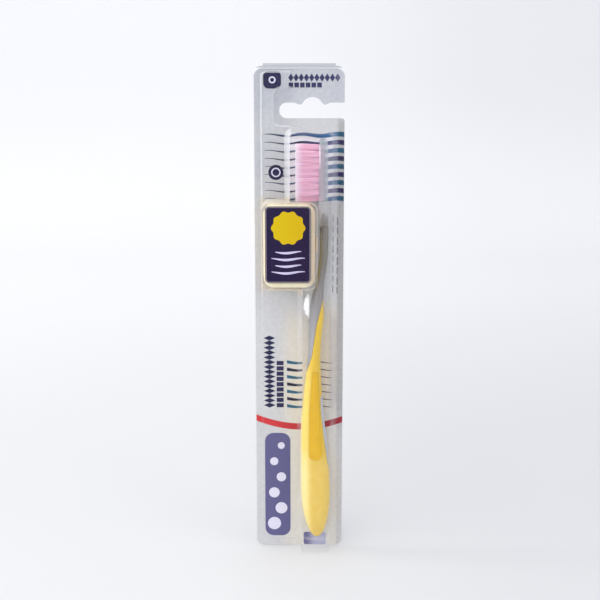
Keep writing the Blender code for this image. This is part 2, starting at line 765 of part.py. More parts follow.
def tongue_solid():
    """The core's peg in the head, tapering at its end."""
    middle = tongue_middle()
    levels = [(TONGUE_Z - GAP, 1.0)]
    levels += [(TONGUE_Z + TONGUE_LENGTH * along, scale) for along, scale in TONGUE_STATION_SHARES]
    rings = [
        ring(middle, height, TONGUE_THICKNESS / 2 * scale, TONGUE_WIDTH / 2 * scale, 2)
        for height, scale in levels
    ]
    return loft("tongue", rings)


def make_handle_core():
    """Hard core: neck and waist to the surface, and a slimmer bar inside the grip."""
    reach = HANDLE_WIDTH
    core = full_body("handle_core")
    combine(core, "DIFFERENCE", brush_prism("grip_zone", GRIP_SHARES, -GAP, -reach, reach))
    combine(core, "UNION", core_inside("core_bar", GRIP_WALL + GAP), window_land("land", 0.0))
    combine(core, "UNION", tongue_solid())
    combine(core, "DIFFERENCE", inlay_zone("inlay_groove", GAP))
    return finish(core, SILVER_CORE)


def tongue_middle():
    """The core's middle where its tongue enters the head."""
    return smooth_between(body_rows(), TONGUE_Z)[0]


def flank(side):
    """Depths of one flank of the grip, from near the middle to outside the handle."""
    return sorted((side * HANDLE_WIDTH / 8, side * HANDLE_WIDTH))


def make_grip():
    """Soft yellow grip moulded over the core, open where the core shows."""
    reach = HANDLE_WIDTH
    grip = full_body("grip_sleeve")
    combine(grip, "INTERSECT", brush_prism("grip_zone", GRIP_SHARES, 0.0, -reach, reach))
    combine(grip, "DIFFERENCE", core_inside("core_void", GRIP_WALL), window_land("land_void", GAP))
    for side in (-1, 1):
        pocket = brush_prism("pad_pocket", PAD_SHARES, -GAP, *flank(side))
        inner = body_loft(
            "pocket_floor", PAD_WALL + GAP, BRUSH_LIFT + GRIP_WALL, BRUSH_LIFT + HANDLE_LENGTH
        )
        combine(pocket, "DIFFERENCE", inner)
        combine(grip, "DIFFERENCE", pocket)
    return finish(grip, YELLOW_GRIP)


def make_side_pad(name, side):
    """Firm inlay in one flank of the grip: side -1 faces the viewer, side 1 faces the cover."""
    pad = brush_prism(name, PAD_SHARES, 0.0, *flank(side))
    combine(pad, "INTERSECT", full_body("pad_skin"))
    inner = body_loft("pad_floor", PAD_WALL, BRUSH_LIFT + GRIP_WALL, BRUSH_LIFT + HANDLE_LENGTH)
    combine(pad, "DIFFERENCE", inner)
    return finish(pad, GOLDEN_PAD)


def inlay_zone(name, grow):
    """Slab over the neck's bristle side that holds the soft strip, grown by an amount."""
    rows = body_rows()
    bottom = NECK_Z + NECK_LENGTH * INLAY_START_SHARE - grow
    top = TONGUE_Z - NECK_LENGTH * INLAY_STOP_SHARE + grow
    rings = []
    for step in range(INLAY_STEPS + 1):
        height = bottom + (top - bottom) * step / INLAY_STEPS
        middle, thickness, _ = smooth_between(rows, height)
        face = middle - thickness / 2
        swell = INLAY_END_SHARE + math.sin(math.pi * step / INLAY_STEPS)
        depth = INLAY_THICKNESS * min(1.0, swell) + grow
        rings.append(
            [
                (face - OVERRUN, BRUSH_Y - NECK_WIDTH, height),
                (face + depth, BRUSH_Y - NECK_WIDTH, height),
                (face + depth, BRUSH_Y + NECK_WIDTH, height),
                (face - OVERRUN, BRUSH_Y + NECK_WIDTH, height),
            ]
        )
    return loft(name, rings)


def make_neck_inlay():
    """Soft strip that forms the neck's bristle side."""
    strip = full_body("neck_inlay")
    combine(strip, "INTERSECT", inlay_zone("inlay_room", 0.0))
    return finish(strip, YELLOW_GRIP)


def head_solid(name):
    """Outside of the head: the neck's end, the flare, the flat plate and its rounded tip."""
    middle, thickness, width = smooth_between(body_rows(), TONGUE_Z)
    levels = [(TONGUE_Z + GAP, 0.0)]
    levels += [
        (HEAD_Z + HEAD_FLARE * (step / HEAD_STEPS - 0.5), step / HEAD_STEPS)
        for step in range(HEAD_STEPS + 1)
    ]
    straight = HEAD_TOP - HEAD_TIP
    rings = []
    for height, share in levels:
        blend = share * share * (3 - 2 * share)
        rings.append(
            ring(
                middle + (HEAD_X - middle) * blend,
                height,
                (thickness + (HEAD_THICKNESS - thickness) * blend) / 2,
                (width + (HEAD_WIDTH - width) * blend) / 2,
                NECK_SQUARENESS + (HEAD_SQUARENESS - NECK_SQUARENESS) * blend,
            )
        )
    for step in range(HEAD_STEPS + 1):
        angle = HEAD_TIP_TURN * step / HEAD_STEPS
        rings.append(
            ring(
                HEAD_X,
                straight + HEAD_TIP * math.sin(angle),
                HEAD_THICKNESS / 2 * (1 - (1 - math.cos(angle)) / 3),
                HEAD_WIDTH / 2 * max(math.sqrt(math.cos(angle)), HEAD_TIP_WIDTH_SHARE),
                HEAD_SQUARENESS,
            )
        )
    return loft(name, rings)


def tuft_places():
    """Middle of each tuft as (across, height); the end columns leave out the outer rows."""
    middle = slice_middle()
    places = []
    for column in range(TUFT_COLUMNS):
        height = middle + (column - (TUFT_COLUMNS - 1) / 2) * TUFT_PITCH_ALONG
        for row in range(TUFT_ROWS):
            at_end = column in (0, TUFT_COLUMNS - 1)
            if at_end and row in (0, TUFT_ROWS - 1):
                continue
            across = (row - (TUFT_ROWS - 1) / 2) * TUFT_PITCH_ACROSS
            places.append((BRUSH_Y + across, height))
    return places


def slice_middle():
    """Height of the middle of the bristles, set back from the head's tip."""
    half = (TUFT_COLUMNS - 1) / 2 * TUFT_PITCH_ALONG
    return HEAD_TOP - TUFT_SETBACK - STRAND_SPACING - STRAND_RADIUS - half


def slice_plate(name, grow, front, back):
    """Plate across the head with the bristles' outline, between two depths into the head."""
    reach = STRAND_SPACING + STRAND_RADIUS + SLICE_MARGIN + grow
    half_across = (TUFT_ROWS - 1) / 2 * TUFT_PITCH_ACROSS + reach
    half_along = (TUFT_COLUMNS - 1) / 2 * TUFT_PITCH_ALONG + reach
    corners = rectangle(-half_across, half_across, -half_along, half_along, SLICE_CORNER + grow)
    rings = [
        [
            (HEAD_FACE_X + depth, BRUSH_Y - point.x, slice_middle() + point.y)
            for point in rounded_outline(corners)
        ]
        for depth in (front, back)
    ]
    return loft(name, rings)


def make_head():
    """Clear head plate, with the pocket of the bristles' slice and the socket of the core."""
    head = head_solid("brush_head")
    combine(head, "DIFFERENCE", slice_plate("slice_pocket", GAP, -OVERRUN, SLICE_THICKNESS + GAP))
    socket = loft(
        "socket",
        [
            ring(tongue_middle(), height, TONGUE_THICKNESS / 2 + GAP, TONGUE_WIDTH / 2 + GAP, 2)
            for height in (TONGUE_Z - OVERRUN, TONGUE_Z + TONGUE_LENGTH + GAP)
        ],
    )
    combine(head, "DIFFERENCE", socket)
    return finish(head, CLEAR_HEAD)


def add_strand(bm, across, height, turn):
    """One three-sided tapering strand from inside the slice to its tip, turned about its length."""
    root = HEAD_FACE_X + SLICE_THICKNESS / 2
    tip = HEAD_FACE_X - BRISTLE_LENGTH
    corners = []
    for x, radius in ((root, STRAND_RADIUS), (tip, STRAND_RADIUS * BRISTLE_TIP_SHARE)):
        for side in range(3):
            angle = turn + 2 * math.pi * side / 3
            y = across + radius * math.cos(angle)
            z = height + radius * math.sin(angle)
            corners.append(bm.verts.new((x, y, z)))
    base, end = corners[:3], corners[3:]
    for side in range(3):
        following = (side + 1) % 3
        bm.faces.new((base[side], base[following], end[following], end[side]))
    bm.faces.new(base)
    bm.faces.new(end)


def make_bristles():
    """Every tuft's strands, one in the middle and a ring round it, on one slice of the head."""
    bm = bmesh.new()
    for index, (across, height) in enumerate(tuft_places()):
        turn = TUFT_TURN * index
        add_strand(bm, across, height, turn)
        for spoke in range(STRANDS_ROUND):
            angle = turn + 2 * math.pi * spoke / STRANDS_ROUND
            add_strand(
                bm,
                across + STRAND_SPACING * math.cos(angle),
                height + STRAND_SPACING * math.sin(angle),
                angle,
            )
    strands = make_object("strands", bm)
    bristles = slice_plate("bristles", 0.0, 0.0, SLICE_THICKNESS)
    combine(bristles, "UNION", strands)
    return finish(bristles, PINK_BRISTLE)


def cap_corners():
    """Outline of the travel cap."""
    return rectangle(CAP_LEFT, CAP_RIGHT, CAP_BOTTOM, CAP_TOP, CAP_CORNER)


def cap_levels(wall):
    """Levels of the cap's rounded box, from its front to its back, shrunk by a wall."""
    front = CAP_BACK_Y - CAP_THICKNESS + wall
    back = CAP_BACK_Y - wall
    edge = CAP_EDGE - wall
    angles = [math.pi / 2 * step / EDGE_STEPS for step in range(EDGE_STEPS + 1)]
    steps = [(edge * (1 - math.sin(angle)), wall + edge * (1 - math.cos(angle))) for angle in angles]
    start = [(front + depth, inset) for depth, inset in reversed(steps)]
    end = [(back - depth, inset) for depth, inset in steps]
    return start + end


def cap_shell(name, front, back):
    """The part of the cap's hollow box between two depths."""
    shell = prism(name, cap_corners(), cap_levels(0.0))
    combine(shell, "DIFFERENCE", prism("cap_hollow", cap_corners(), cap_levels(CAP_WALL)))
    low = (CAP_LEFT - OVERRUN, front, CAP_BOTTOM - OVERRUN)
    high = (CAP_RIGHT + OVERRUN, back, CAP_TOP + OVERRUN)
    combine(shell, "INTERSECT", block("cap_part", low, high))
    middle_y = CAP_BACK_Y - CAP_THICKNESS / 2
    right = CAP_RIGHT - NECK_HOLE_MARGIN
    hole = block(
        "neck_hole",
        (right - NECK_HOLE, middle_y - NECK_HOLE / 2, CAP_BOTTOM - OVERRUN),
        (right, middle_y + NECK_HOLE / 2, CAP_BOTTOM + CAP_WALL + OVERRUN),
    )
    combine(shell, "DIFFERENCE", hole)
    return shell


def cap_bead(name, radius, overlap):
    """Bead along the cap's left side that the lid folds about."""
    middle = (CAP_BOTTOM + CAP_TOP) / 2
    half = CAP_BEAD_LENGTH / 2 + overlap
    return rod(
        name,
        (CAP_LEFT, CAP_SPLIT_Y, middle - half),
        (CAP_LEFT, CAP_SPLIT_Y, middle + half),
        radius,
    )


def make_cap_base():
    """Deep front half of the travel cap, with its vents and the bead of the fold."""
    base = cap_shell("cap_base", CAP_BACK_Y - CAP_THICKNESS - OVERRUN, CAP_SPLIT_Y - GAP / 2)
    combine(base, "UNION", cap_bead("bead", CAP_BEAD_RADIUS, 0.0))
    middle = (CAP_LEFT + CAP_RIGHT) / 2
    front = CAP_BACK_Y - CAP_THICKNESS + CAP_EDGE
    for index in range(VENT_COUNT):
        across = middle + (index - (VENT_COUNT - 1) / 2) * VENT_PITCH
        vent = block(
            "vent",
            (across - VENT_WIDTH / 2, front, CAP_TOP - CAP_WALL - OVERRUN),
            (across + VENT_WIDTH / 2, front + VENT_LENGTH, CAP_TOP + OVERRUN),
        )
        combine(base, "DIFFERENCE", vent)
    return finish(base, CREAM_CAP)


def make_cap_lid():
    """Shallow back half of the cap, with its snap tab, hung on the fold."""
    lid = cap_shell("cap_lid", CAP_SPLIT_Y + GAP / 2, CAP_BACK_Y + OVERRUN)
    middle = (CAP_BOTTOM + CAP_TOP) / 2
    tab = block(
        "tab",
        (CAP_RIGHT + GAP, CAP_SPLIT_Y - TAB_REACH, middle - TAB_WIDTH / 2),
        (CAP_RIGHT + GAP + TAB_THICKNESS, CAP_SPLIT_Y + TAB_REACH, middle + TAB_WIDTH / 2),
    )
    root = block(
        "tab_root",
        (CAP_RIGHT - CAP_WALL / 2, CAP_SPLIT_Y + GAP / 2 + SHEET, middle - TAB_WIDTH / 2 + SHEET),
        (CAP_RIGHT + GAP + SHEET, CAP_SPLIT_Y + TAB_REACH - SHEET, middle + TAB_WIDTH / 2 - SHEET),
    )
    combine(tab, "UNION", root)
    combine(lid, "UNION", tab)
    combine(lid, "DIFFERENCE", cap_bead("bead_seat", CAP_BEAD_RADIUS + GAP, OVERRUN))
    return finish(lid, CREAM_CAP, (CAP_LEFT, CAP_SPLIT_Y, middle))


def build():
    """Makes every piece."""
    clear_scene()
    make_front_blister()
    make_front_label()
    make_back_cover()
    make_printed_film()
    make_handle_core()
    make_head()
    make_grip()
    make_neck_inlay()
    make_side_pad("side_pad_front", -1)
    make_side_pad("side_pad_back", 1)
    make_bristles()
    make_cap_base()
    make_cap_lid()


build()
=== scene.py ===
"""Looks of a manual toothbrush with its travel cap, in a clear folding retail pack.

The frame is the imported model's: +X to the right of the pack, -Y towards the viewer, +Z up, metres.
Every sheet and moulding is made again here with finer curves, from the same sizes.
"""

import math
import random

import bmesh
import bpy
from mathutils import Matrix, Vector


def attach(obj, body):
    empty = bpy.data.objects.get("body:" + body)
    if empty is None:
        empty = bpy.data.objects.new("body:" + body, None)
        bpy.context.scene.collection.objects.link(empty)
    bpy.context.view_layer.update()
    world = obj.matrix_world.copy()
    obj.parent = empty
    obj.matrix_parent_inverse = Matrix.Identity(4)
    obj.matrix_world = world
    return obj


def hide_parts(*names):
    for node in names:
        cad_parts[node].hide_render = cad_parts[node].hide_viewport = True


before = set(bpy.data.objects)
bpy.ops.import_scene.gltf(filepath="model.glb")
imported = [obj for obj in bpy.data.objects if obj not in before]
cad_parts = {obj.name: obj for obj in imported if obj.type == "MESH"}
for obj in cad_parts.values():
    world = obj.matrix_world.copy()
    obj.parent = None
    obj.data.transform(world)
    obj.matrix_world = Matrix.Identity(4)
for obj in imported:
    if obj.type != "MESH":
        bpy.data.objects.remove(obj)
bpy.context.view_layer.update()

MM = 0.001

# Sheets of the pack
SHEET = 0.45 * MM               # clear plastic of the front blister and the back cover
FILM = 0.25 * MM                # printed film between them
GAP = 0.3 * MM                  # clearance between pieces that touch
OVERRUN = 2.0 * MM              # how far a cutter passes the wall that it cuts

# Pack outline, seen from the front
PACK_WIDTH = 42.0 * MM
PACK_HEIGHT = 232.6 * MM
PACK_CORNER = 4.0 * MM
FLANGE_WIDTH = 3.0 * MM         # flat rim outside the raised field
FOOT_RIM = 3.6 * MM             # flat rim below the raised field
FOLD_LENGTH = 33.0 * MM         # fold that joins front and back at the top
COVER_LIFT = 0.4 * MM           # the cover and the film end this far above the floor

# Raised field of the front blister, which leaves the hang slot's surround flat
FIELD_DEPTH = 2.0 * MM
FIELD_DRAFT = 0.7 * MM
FIELD_CORNER = 3.0 * MM
TOP_BAND_HEIGHT = 8.4 * MM      # raised band above the hang slot
TOP_BAND_MARGIN = 2.0 * MM      # from the sheet's top edge down to that band
SLOT_SURROUND_HEIGHT = 16.0 * MM
SLOT_SURROUND_LEFT = 6.5 * MM   # width of the raised strip to the left of the surround

# Hang slot, open to the pack's right edge
SLOT_HEIGHT = 7.0 * MM
SLOT_DIP = 5.6 * MM             # height at the two dips beside the dome
SLOT_DOME_HEIGHT = 9.5 * MM
SLOT_DOME_WIDTH = 10.6 * MM
SLOT_LOBE = 7.0 * MM            # from a dip outwards to the flat top of a lobe's end
SLOT_MARGIN = 2.4 * MM          # flat sheet left of the slot
SLOT_SILL = 2.9 * MM            # flat sheet below the slot
SLOT_CORNER = 3.3 * MM
SLOT_MOUTH = 2.0 * MM           # rounding of the sheet below the slot's open end
DIP_RADIUS = 1.7 * MM
DOME_RADIUS = 4.6 * MM
LOBE_RADIUS = 5.0 * MM

# Brush, measured along its length from the end of the handle
HANDLE_LENGTH = 117.0 * MM
NECK_LENGTH = 40.0 * MM
HEAD_LENGTH = 34.0 * MM
HANDLE_THICKNESS = 14.0 * MM    # in the plane of the pack
HANDLE_WIDTH = 11.6 * MM        # square to it
HANDLE_END_LENGTH = 26.0 * MM   # rounded end, seen from the side
HANDLE_END_DEPTH = 13.0 * MM    # rounded end, seen along the pack
NECK_THICKNESS = 3.9 * MM
NECK_WIDTH = 4.6 * MM
HEAD_THICKNESS = 4.2 * MM
HEAD_WIDTH = 11.0 * MM
HEAD_FLARE = 9.0 * MM           # length in which the neck widens to the head
HEAD_TIP = 5.5 * MM             # rounded tip of the head
END_FLAT = 0.25 * MM            # the rounded end starts on a small flat this far up
BRUSH_LIFT = 8.0 * MM           # the handle's end above the floor
BRUSH_MARGIN = 13.4 * MM        # the handle's middle from the pack's right edge
HEAD_OFFSET = 3.4 * MM          # the head's middle, right of the handle's middle

# Grip parts on the handle's hard core
GRIP_WALL = 1.8 * MM
PAD_WALL = 1.0 * MM
INLAY_THICKNESS = 1.1 * MM      # soft strip along the neck's bristle side
TONGUE_LENGTH = 6.0 * MM        # the core's peg in the clear head
TONGUE_THICKNESS = 2.0 * MM
TONGUE_WIDTH = 2.8 * MM

# Bristles: where the tufts are, and the fine strands of each
BRISTLE_LENGTH = 10.8 * MM
STRAND_RADIUS = 0.19 * MM
STRAND_SPACING = 0.62 * MM      # from a tuft's middle strand to the strands round it
TUFT_COLUMNS = 9
TUFT_ROWS = 4
TUFT_PITCH_ALONG = 2.85 * MM
TUFT_PITCH_ACROSS = 2.3 * MM
TUFT_SETBACK = 3.1 * MM         # from the head's tip to the first strands
TUFT_STRANDS = 96
TUFT_REACH_ALONG = 1.08 * MM
TUFT_REACH_ACROSS = 0.94 * MM
FINE_STRAND = 0.09 * MM         # radius of a fine strand at its root
STRAND_SIDES = 4
STRAND_SPREAD_SHARE = 0.36      # how far a strand's tip moves out, over its root's place in the tuft
STRAND_BEND = 2.2               # power of the curve by which a strand moves out
STRAND_STRAY = 0.16 * MM        # how far a tip strays at random
STRAND_SHORT = 0.55 * MM        # how much shorter the shortest strand is
STRAND_ROOT = 2.4 * MM          # how deep a tuft sits in the head
STRAND_PAINTED_GLOW = 0.052             # painted glow: light the strands give off, in place of light passing through them from behind
STRAND_SEED = 7
GOLDEN_ANGLE = math.pi * (3 - math.sqrt(5))     # from one strand of a tuft to the next
# Stations of a strand: shares of its length and of its radius at the root
STRAND_STATION_SHARES = ((0.00, 1.00), (0.30, 1.00), (0.65, 0.86), (0.90, 0.62), (1.00, 0.30))

# Travel cap, lying beside the neck
CAP_LEFT_MARGIN = 4.85 * MM     # the cap's left side from the pack's left edge
CAP_HEIGHT = 38.3 * MM
CAP_THICKNESS = 14.35 * MM
CAP_WALL = 1.2 * MM
CAP_CORNER = 4.5 * MM
CAP_EDGE = 2.6 * MM             # rounding of the front and back edges
CAP_LID_THICKNESS = 5.2 * MM
CAP_BEAD_RADIUS = 0.45 * MM     # bead that the lid folds about
CAP_BEAD_LENGTH = 30.0 * MM
CAP_BESIDE_NECK = 1.7 * MM      # the cap's right side from the neck
CAP_ABOVE_NECK = 6.65 * MM      # the cap's bottom above the neck's lower end
CAP_BACK_CLEARANCE = 0.7 * MM   # the cap's back from the back of the flange
CAP_FRONT_CLEARANCE = 0.7 * MM
NECK_HOLE = 6.4 * MM
NECK_HOLE_MARGIN = 2.0 * MM     # between the hole and the cap's right side
VENT_WIDTH = 1.4 * MM
VENT_LENGTH = 6.0 * MM
VENT_PITCH = 3.4 * MM
VENT_COUNT = 3
TAB_WIDTH = 7.0 * MM
TAB_THICKNESS = 0.8 * MM
TAB_REACH = 2.4 * MM            # how far the lid's tab laps over the base

# Bays of the front blister that hold the brush and the cap
BRUSH_BAY_DRAFT = 2.5 * MM
BRUSH_BAY_EDGE = 1.2 * MM
BRUSH_BAY_FRONT_CLEARANCE = 0.75 * MM
BAY_CLEARANCE_RIGHT = 1.3 * MM
BAY_CLEARANCE_LEFT = 0.55 * MM
BAY_CLEARANCE_TOP = 3.4 * MM
BAY_CLEARANCE_TIPS = 3.7 * MM
BAY_CLEARANCE_END = 0.35 * MM
BAY_CORNER = 4.5 * MM
BAY_END_CORNER = 6.4 * MM
CAP_BAY_DRAFT = 0.6 * MM
CAP_BAY_EDGE = 1.1 * MM
CAP_BAY_CLEARANCE = 1.15 * MM
CAP_BAY_CLEARANCE_LEFT = 1.25 * MM      # room for the bead
CAP_BAY_CORNER = 4.4 * MM
FOOT_DEPTH = 8.5 * MM
FOOT_WIDTH = 14.4 * MM
FOOT_HEIGHT = 10.0 * MM
FOOT_DRAFT = 0.8 * MM
FOOT_EDGE = 1.4 * MM
FOOT_CORNER = 2.4 * MM

# Label on the flat front of the cap's bay: its margins from the bay's outline, and its corners
LABEL_MARGIN_LEFT = 2.3 * MM
LABEL_MARGIN_RIGHT = 3.6 * MM
LABEL_MARGIN_TOP = 2.1 * MM
LABEL_MARGIN_BOTTOM = 4.3 * MM
LABEL_CORNER = 2.0 * MM
LABEL_THICKNESS = 0.15 * MM

# Fineness of round shapes
ARC_STEPS = 12
RING_POINTS = 48
BEAD_SIDES = 24
EDGE_STEPS = 6
BODY_RINGS = 72
END_STEPS = 16
HEAD_STEPS = 12
INLAY_STEPS = 20
DISC_SIDES = 40
SUN_SIDES = 120
WAVE_STEPS = 60
BAND_STEPS = 48
SWEEP_STEPS = 16
SMOOTH_ANGLE = math.radians(35)

# The pack's depths. The flange's back lies at FLANGE_Y, so that the box's middle is at Y = 0.
CAP_FRONT_DEPTH = CAP_BACK_CLEARANCE + CAP_THICKNESS
CAP_BAY_DEPTH = CAP_FRONT_DEPTH + CAP_FRONT_CLEARANCE + SHEET
DEPTH_IN_FRONT = CAP_BAY_DEPTH + GAP + LABEL_THICKNESS
DEPTH_BEHIND = GAP + FILM + GAP + SHEET
FLANGE_Y = (DEPTH_IN_FRONT - DEPTH_BEHIND) / 2

# Fold at the top, and the sheets' top edges
FOLD_RADIUS = (SHEET + DEPTH_BEHIND) / 2
FOLD_Y = FLANGE_Y + (DEPTH_BEHIND - SHEET) / 2
FOLD_Z = PACK_HEIGHT - FOLD_RADIUS
SHEET_TOP = FOLD_Z - FOLD_RADIUS / 4
COVER_TOP = FOLD_Z - FOLD_RADIUS - GAP

# The brush's place
BRUSH_OFFSET = PACK_WIDTH / 2 - BRUSH_MARGIN
BRUSH_DEPTH = max(HANDLE_WIDTH, HEAD_WIDTH) / 2 + CAP_BACK_CLEARANCE
BRUSH_Y = FLANGE_Y - BRUSH_DEPTH
BRUSH_BAY_DEPTH = BRUSH_DEPTH + max(HANDLE_WIDTH, HEAD_WIDTH) / 2 + BRUSH_BAY_FRONT_CLEARANCE + SHEET
NECK_Z = BRUSH_LIFT + HANDLE_LENGTH
HEAD_Z = NECK_Z + NECK_LENGTH
HEAD_TOP = HEAD_Z + HEAD_LENGTH
HEAD_X = BRUSH_OFFSET + HEAD_OFFSET
HEAD_FACE_X = HEAD_X - HEAD_THICKNESS / 2
TONGUE_Z = HEAD_Z - TONGUE_LENGTH

# The cap's place
CAP_RIGHT = BRUSH_OFFSET + HEAD_OFFSET - NECK_THICKNESS / 2 - CAP_BESIDE_NECK
CAP_LEFT = CAP_LEFT_MARGIN - PACK_WIDTH / 2
CAP_BOTTOM = NECK_Z + CAP_ABOVE_NECK
CAP_TOP = CAP_BOTTOM + CAP_HEIGHT
CAP_BACK_Y = FLANGE_Y - CAP_BACK_CLEARANCE
CAP_SPLIT_Y = CAP_BACK_Y - CAP_LID_THICKNESS

# Handle stations: height, bow to the right, thickness and width, as shares of the handle's
# length, thickness, thickness and width. The rounded end takes the first of them down to a tip.
HANDLE_STATION_SHARES = (
    (0.00, 0.060, 1.000, 1.00),
    (0.22, 0.000, 1.000, 1.00),
    (0.34, -0.029, 0.943, 0.99),
    (0.48, -0.079, 0.814, 0.95),
    (0.62, -0.086, 0.607, 0.87),
    (0.77, -0.043, 0.421, 0.77),
    (0.86, -0.014, 0.450, 0.74),
    (0.93, 0.025, 0.500, 0.68),
    (1.00, 0.055, 0.393, 0.55),
)
# Neck stations: height, bow to the right, thickness and width, as shares of the neck's length,
# the head's offset, and the neck's thickness and width.
NECK_STATION_SHARES = (
    (0.22, 0.60, 1.03, 1.05),
    (0.46, 1.02, 0.97, 1.00),
    (0.74, 1.14, 1.00, 1.00),
    (1.00, 1.03, 1.05, 1.12),
)
NECK_SQUARENESS = 2.2
HEAD_SQUARENESS = 6.0
HEAD_TIP_TURN = math.radians(84)
HEAD_TIP_WIDTH_SHARE = 0.35     # width of the tip's flat end over the head's width
# Tongue stations: height and thickness, as shares of the tongue's length and thickness
TONGUE_STATION_SHARES = ((0.80, 1.00), (0.95, 0.80), (1.00, 0.40))
# Ends of the neck's strip, as shares of the neck's length from its lower end and from the tongue,
# and the strip's thickness at its ends, as a share of its full thickness
INLAY_START_SHARE = 0.125
INLAY_STOP_SHARE = 0.0625
INLAY_END_SHARE = 0.45

# Side view of the grip: corner points as shares of the handle's length and thickness, measured
# from the handle's end and middle, each with its rounding as a share of the thickness
GRIP_SHARES = (
    (-0.90, -0.10, 0.00),
    (0.90, -0.10, 0.00),
    (0.90, 0.29, 0.00),
    (0.46, 0.29, 0.20),
    (0.30, 0.42, 0.60),
    (0.19, 0.53, 0.60),
    (0.16, 0.61, 0.20),
    (0.90, 0.66, 0.00),
    (0.90, 1.02, 0.00),
    (0.29, 1.02, 0.10),
    (0.03, 0.90, 0.60),
    (-0.13, 0.77, 0.30),
    (-0.34, 0.69, 0.10),
    (-0.90, 0.69, 0.00),
)
BAR_TOP_SHARE = 0.90            # height to which the core's bar runs inside the grip
# Side view of a pad, in the same shares
PAD_SHARES = (
    (-0.22, 0.345, 0.20),
    (0.24, 0.345, 0.20),
    (0.17, 0.480, 0.60),
    (0.12, 0.600, 0.60),
    (0.08, 0.710, 0.06),
    (-0.10, 0.710, 0.06),
    (-0.20, 0.550, 0.60),
)

# Zones of the clear sheets that carry painted light, or are opener: painted highlights on the bays'
# walls, a painted cream reflection of the cap round its bay, and painted light over shaded strips of
# the bay's front. Each zone is ramps of (axis, where the ramp is 0, where it is 1), and counts where
# all its ramps do.
# Round the cap's bay: the cap's cream, painted on the bay's walls as its reflection
ROUND_CAP = (("Z", 173.5 * MM, 171.5 * MM), ("Z", 125.0 * MM, 129.0 * MM), ("X", 13.0 * MM, 9.0 * MM))
# Painted highlights: lines on the brush bay's left wall beside the tips, and the roll at its top corners
LEFT_OF_TIPS = (("X", -1.0 * MM, -3.0 * MM), ("Z", 170.0 * MM, 173.0 * MM))
BAY_ROLL = (("Z", 198.0 * MM, 199.6 * MM),)
ROLL_LEFT = (("X", -3.0 * MM, -4.6 * MM),)
ROLL_RIGHT = (("X", 12.0 * MM, 14.5 * MM),)
# Strips of the brush bay's front, beside the head and before the tips, made paler by painted light over their
# shade
BESIDE_HEAD = (("X", 12.6 * MM, 13.0 * MM), ("X", 14.9 * MM, 14.2 * MM))
BEFORE_TIPS = (("X", -3.5 * MM, -2.9 * MM), ("X", -1.3 * MM, -1.9 * MM))
BAY_FRONT = (
    ("Y", FLANGE_Y - 3.0 * MM, FLANGE_Y - 5.0 * MM),
    ("Z", 170.0 * MM, 174.0 * MM),
    ("Z", 199.0 * MM, 196.0 * MM),
)
UPPER_PACK = (("Z", 100.0 * MM, 125.0 * MM),)
FOLD_EDGE = (("Z", COVER_TOP - 0.2 * MM, COVER_TOP + 0.2 * MM),)
WALL_LINES = (BRUSH_BAY_DEPTH * 0.20, BRUSH_BAY_DEPTH * 0.42)   # from the wall's middle to its lines
WALL_HIGHLIGHTS = (0.72, 1.15)       # painted highlight in the wall's middle, and along its lines
ROUND_CAP_REFLECTION = 0.85
ROLL_HIGHLIGHT = 0.75
ROLL_RIGHT_SHARE = 0.35         # painted highlight of the roll's right end, over that of its left end
OPEN_ROLL_SHARE = 0.3           # what is left of the painted highlight between them
LOWER_PACK_SHARE = 0.6          # the walls' pale edges, which stand partly for reflection, in the lower half over the upper half
FOLD_HAZE = 0.85
BESIDE_HEAD_LIGHT = 0.088
BEFORE_TIPS_LIGHT = 0.08

# Painted glare, a white highlight on the sheet below the cap's bay: its place, half its size and its bow
GLARE_MIDDLE = (3.3 * MM, 123.2 * MM)
GLARE_REACH = (1.5 * MM, 6.0 * MM)
GLARE_BOW = 1.1 * MM
GLARE_RAGGED = 0.25            # how much its edge strays, as a share of its size
GLARE_FADE = (0.2, 1.0)        # from its middle, as shares of its size, where it fades from and to
GLARE_ALPHA = 0.85
GLARE_FRONT = (("Y", FLANGE_Y - 3.0 * MM, FLANGE_Y - 4.0 * MM),)

# Zones of the film's tint. Behind the bristles only the film's front face is paler, painted light
# where the bristles and the bay's wall shade it.
FILM_TOP = (("Z", 204.0 * MM, 216.0 * MM),)
FILM_LOWER = (("Z", 176.0 * MM, 160.0 * MM),)
# Warm tint round the handle, its right part darker: painted light that the yellow handle throws on the film
FILM_WARM = (("Z", 128.0 * MM, 108.0 * MM),)
FILM_WARM_BOTTOM = (("Z", 80.0 * MM, 56.0 * MM),)
FILM_WARM_LEFT = (("X", -12.0 * MM, -2.0 * MM),)
FILM_WARM_RIGHT = (("X", 1.0 * MM, 9.0 * MM),)
FILM_LIT_BEHIND_TUFTS = (
    ("Z", 170.0 * MM, 175.0 * MM),
    ("Z", 201.0 * MM, 197.0 * MM),
    ("X", -6.0 * MM, -3.8 * MM),
    ("X", 16.5 * MM, 15.4 * MM),
    ("Y", FLANGE_Y + GAP + FILM * 0.8, FLANGE_Y + GAP + FILM * 0.3),
)
# Painted shade on the film beside the neck and beside the handle
FILM_SHADED_BESIDE_NECK = (
    ("X", 13.8 * MM, 15.2 * MM),
    ("Z", 171.0 * MM, 169.0 * MM),
    ("Z", 150.0 * MM, 158.0 * MM),
)
FILM_SHADED_BESIDE_HANDLE = (
    ("X", 13.4 * MM, 15.0 * MM),
    ("Z", 120.0 * MM, 112.0 * MM),
    ("Z", 66.0 * MM, 76.0 * MM),
)
# Painted shade along the film's right edge, lighter at its top and at its bottom
FILM_SHADED_EDGE = (("X", 17.2 * MM, 18.6 * MM),)
FILM_SHADED_EDGE_TOP = (("Z", 203.0 * MM, 212.0 * MM),)
FILM_SHADED_EDGE_BOTTOM = (("Z", 76.0 * MM, 50.0 * MM),)

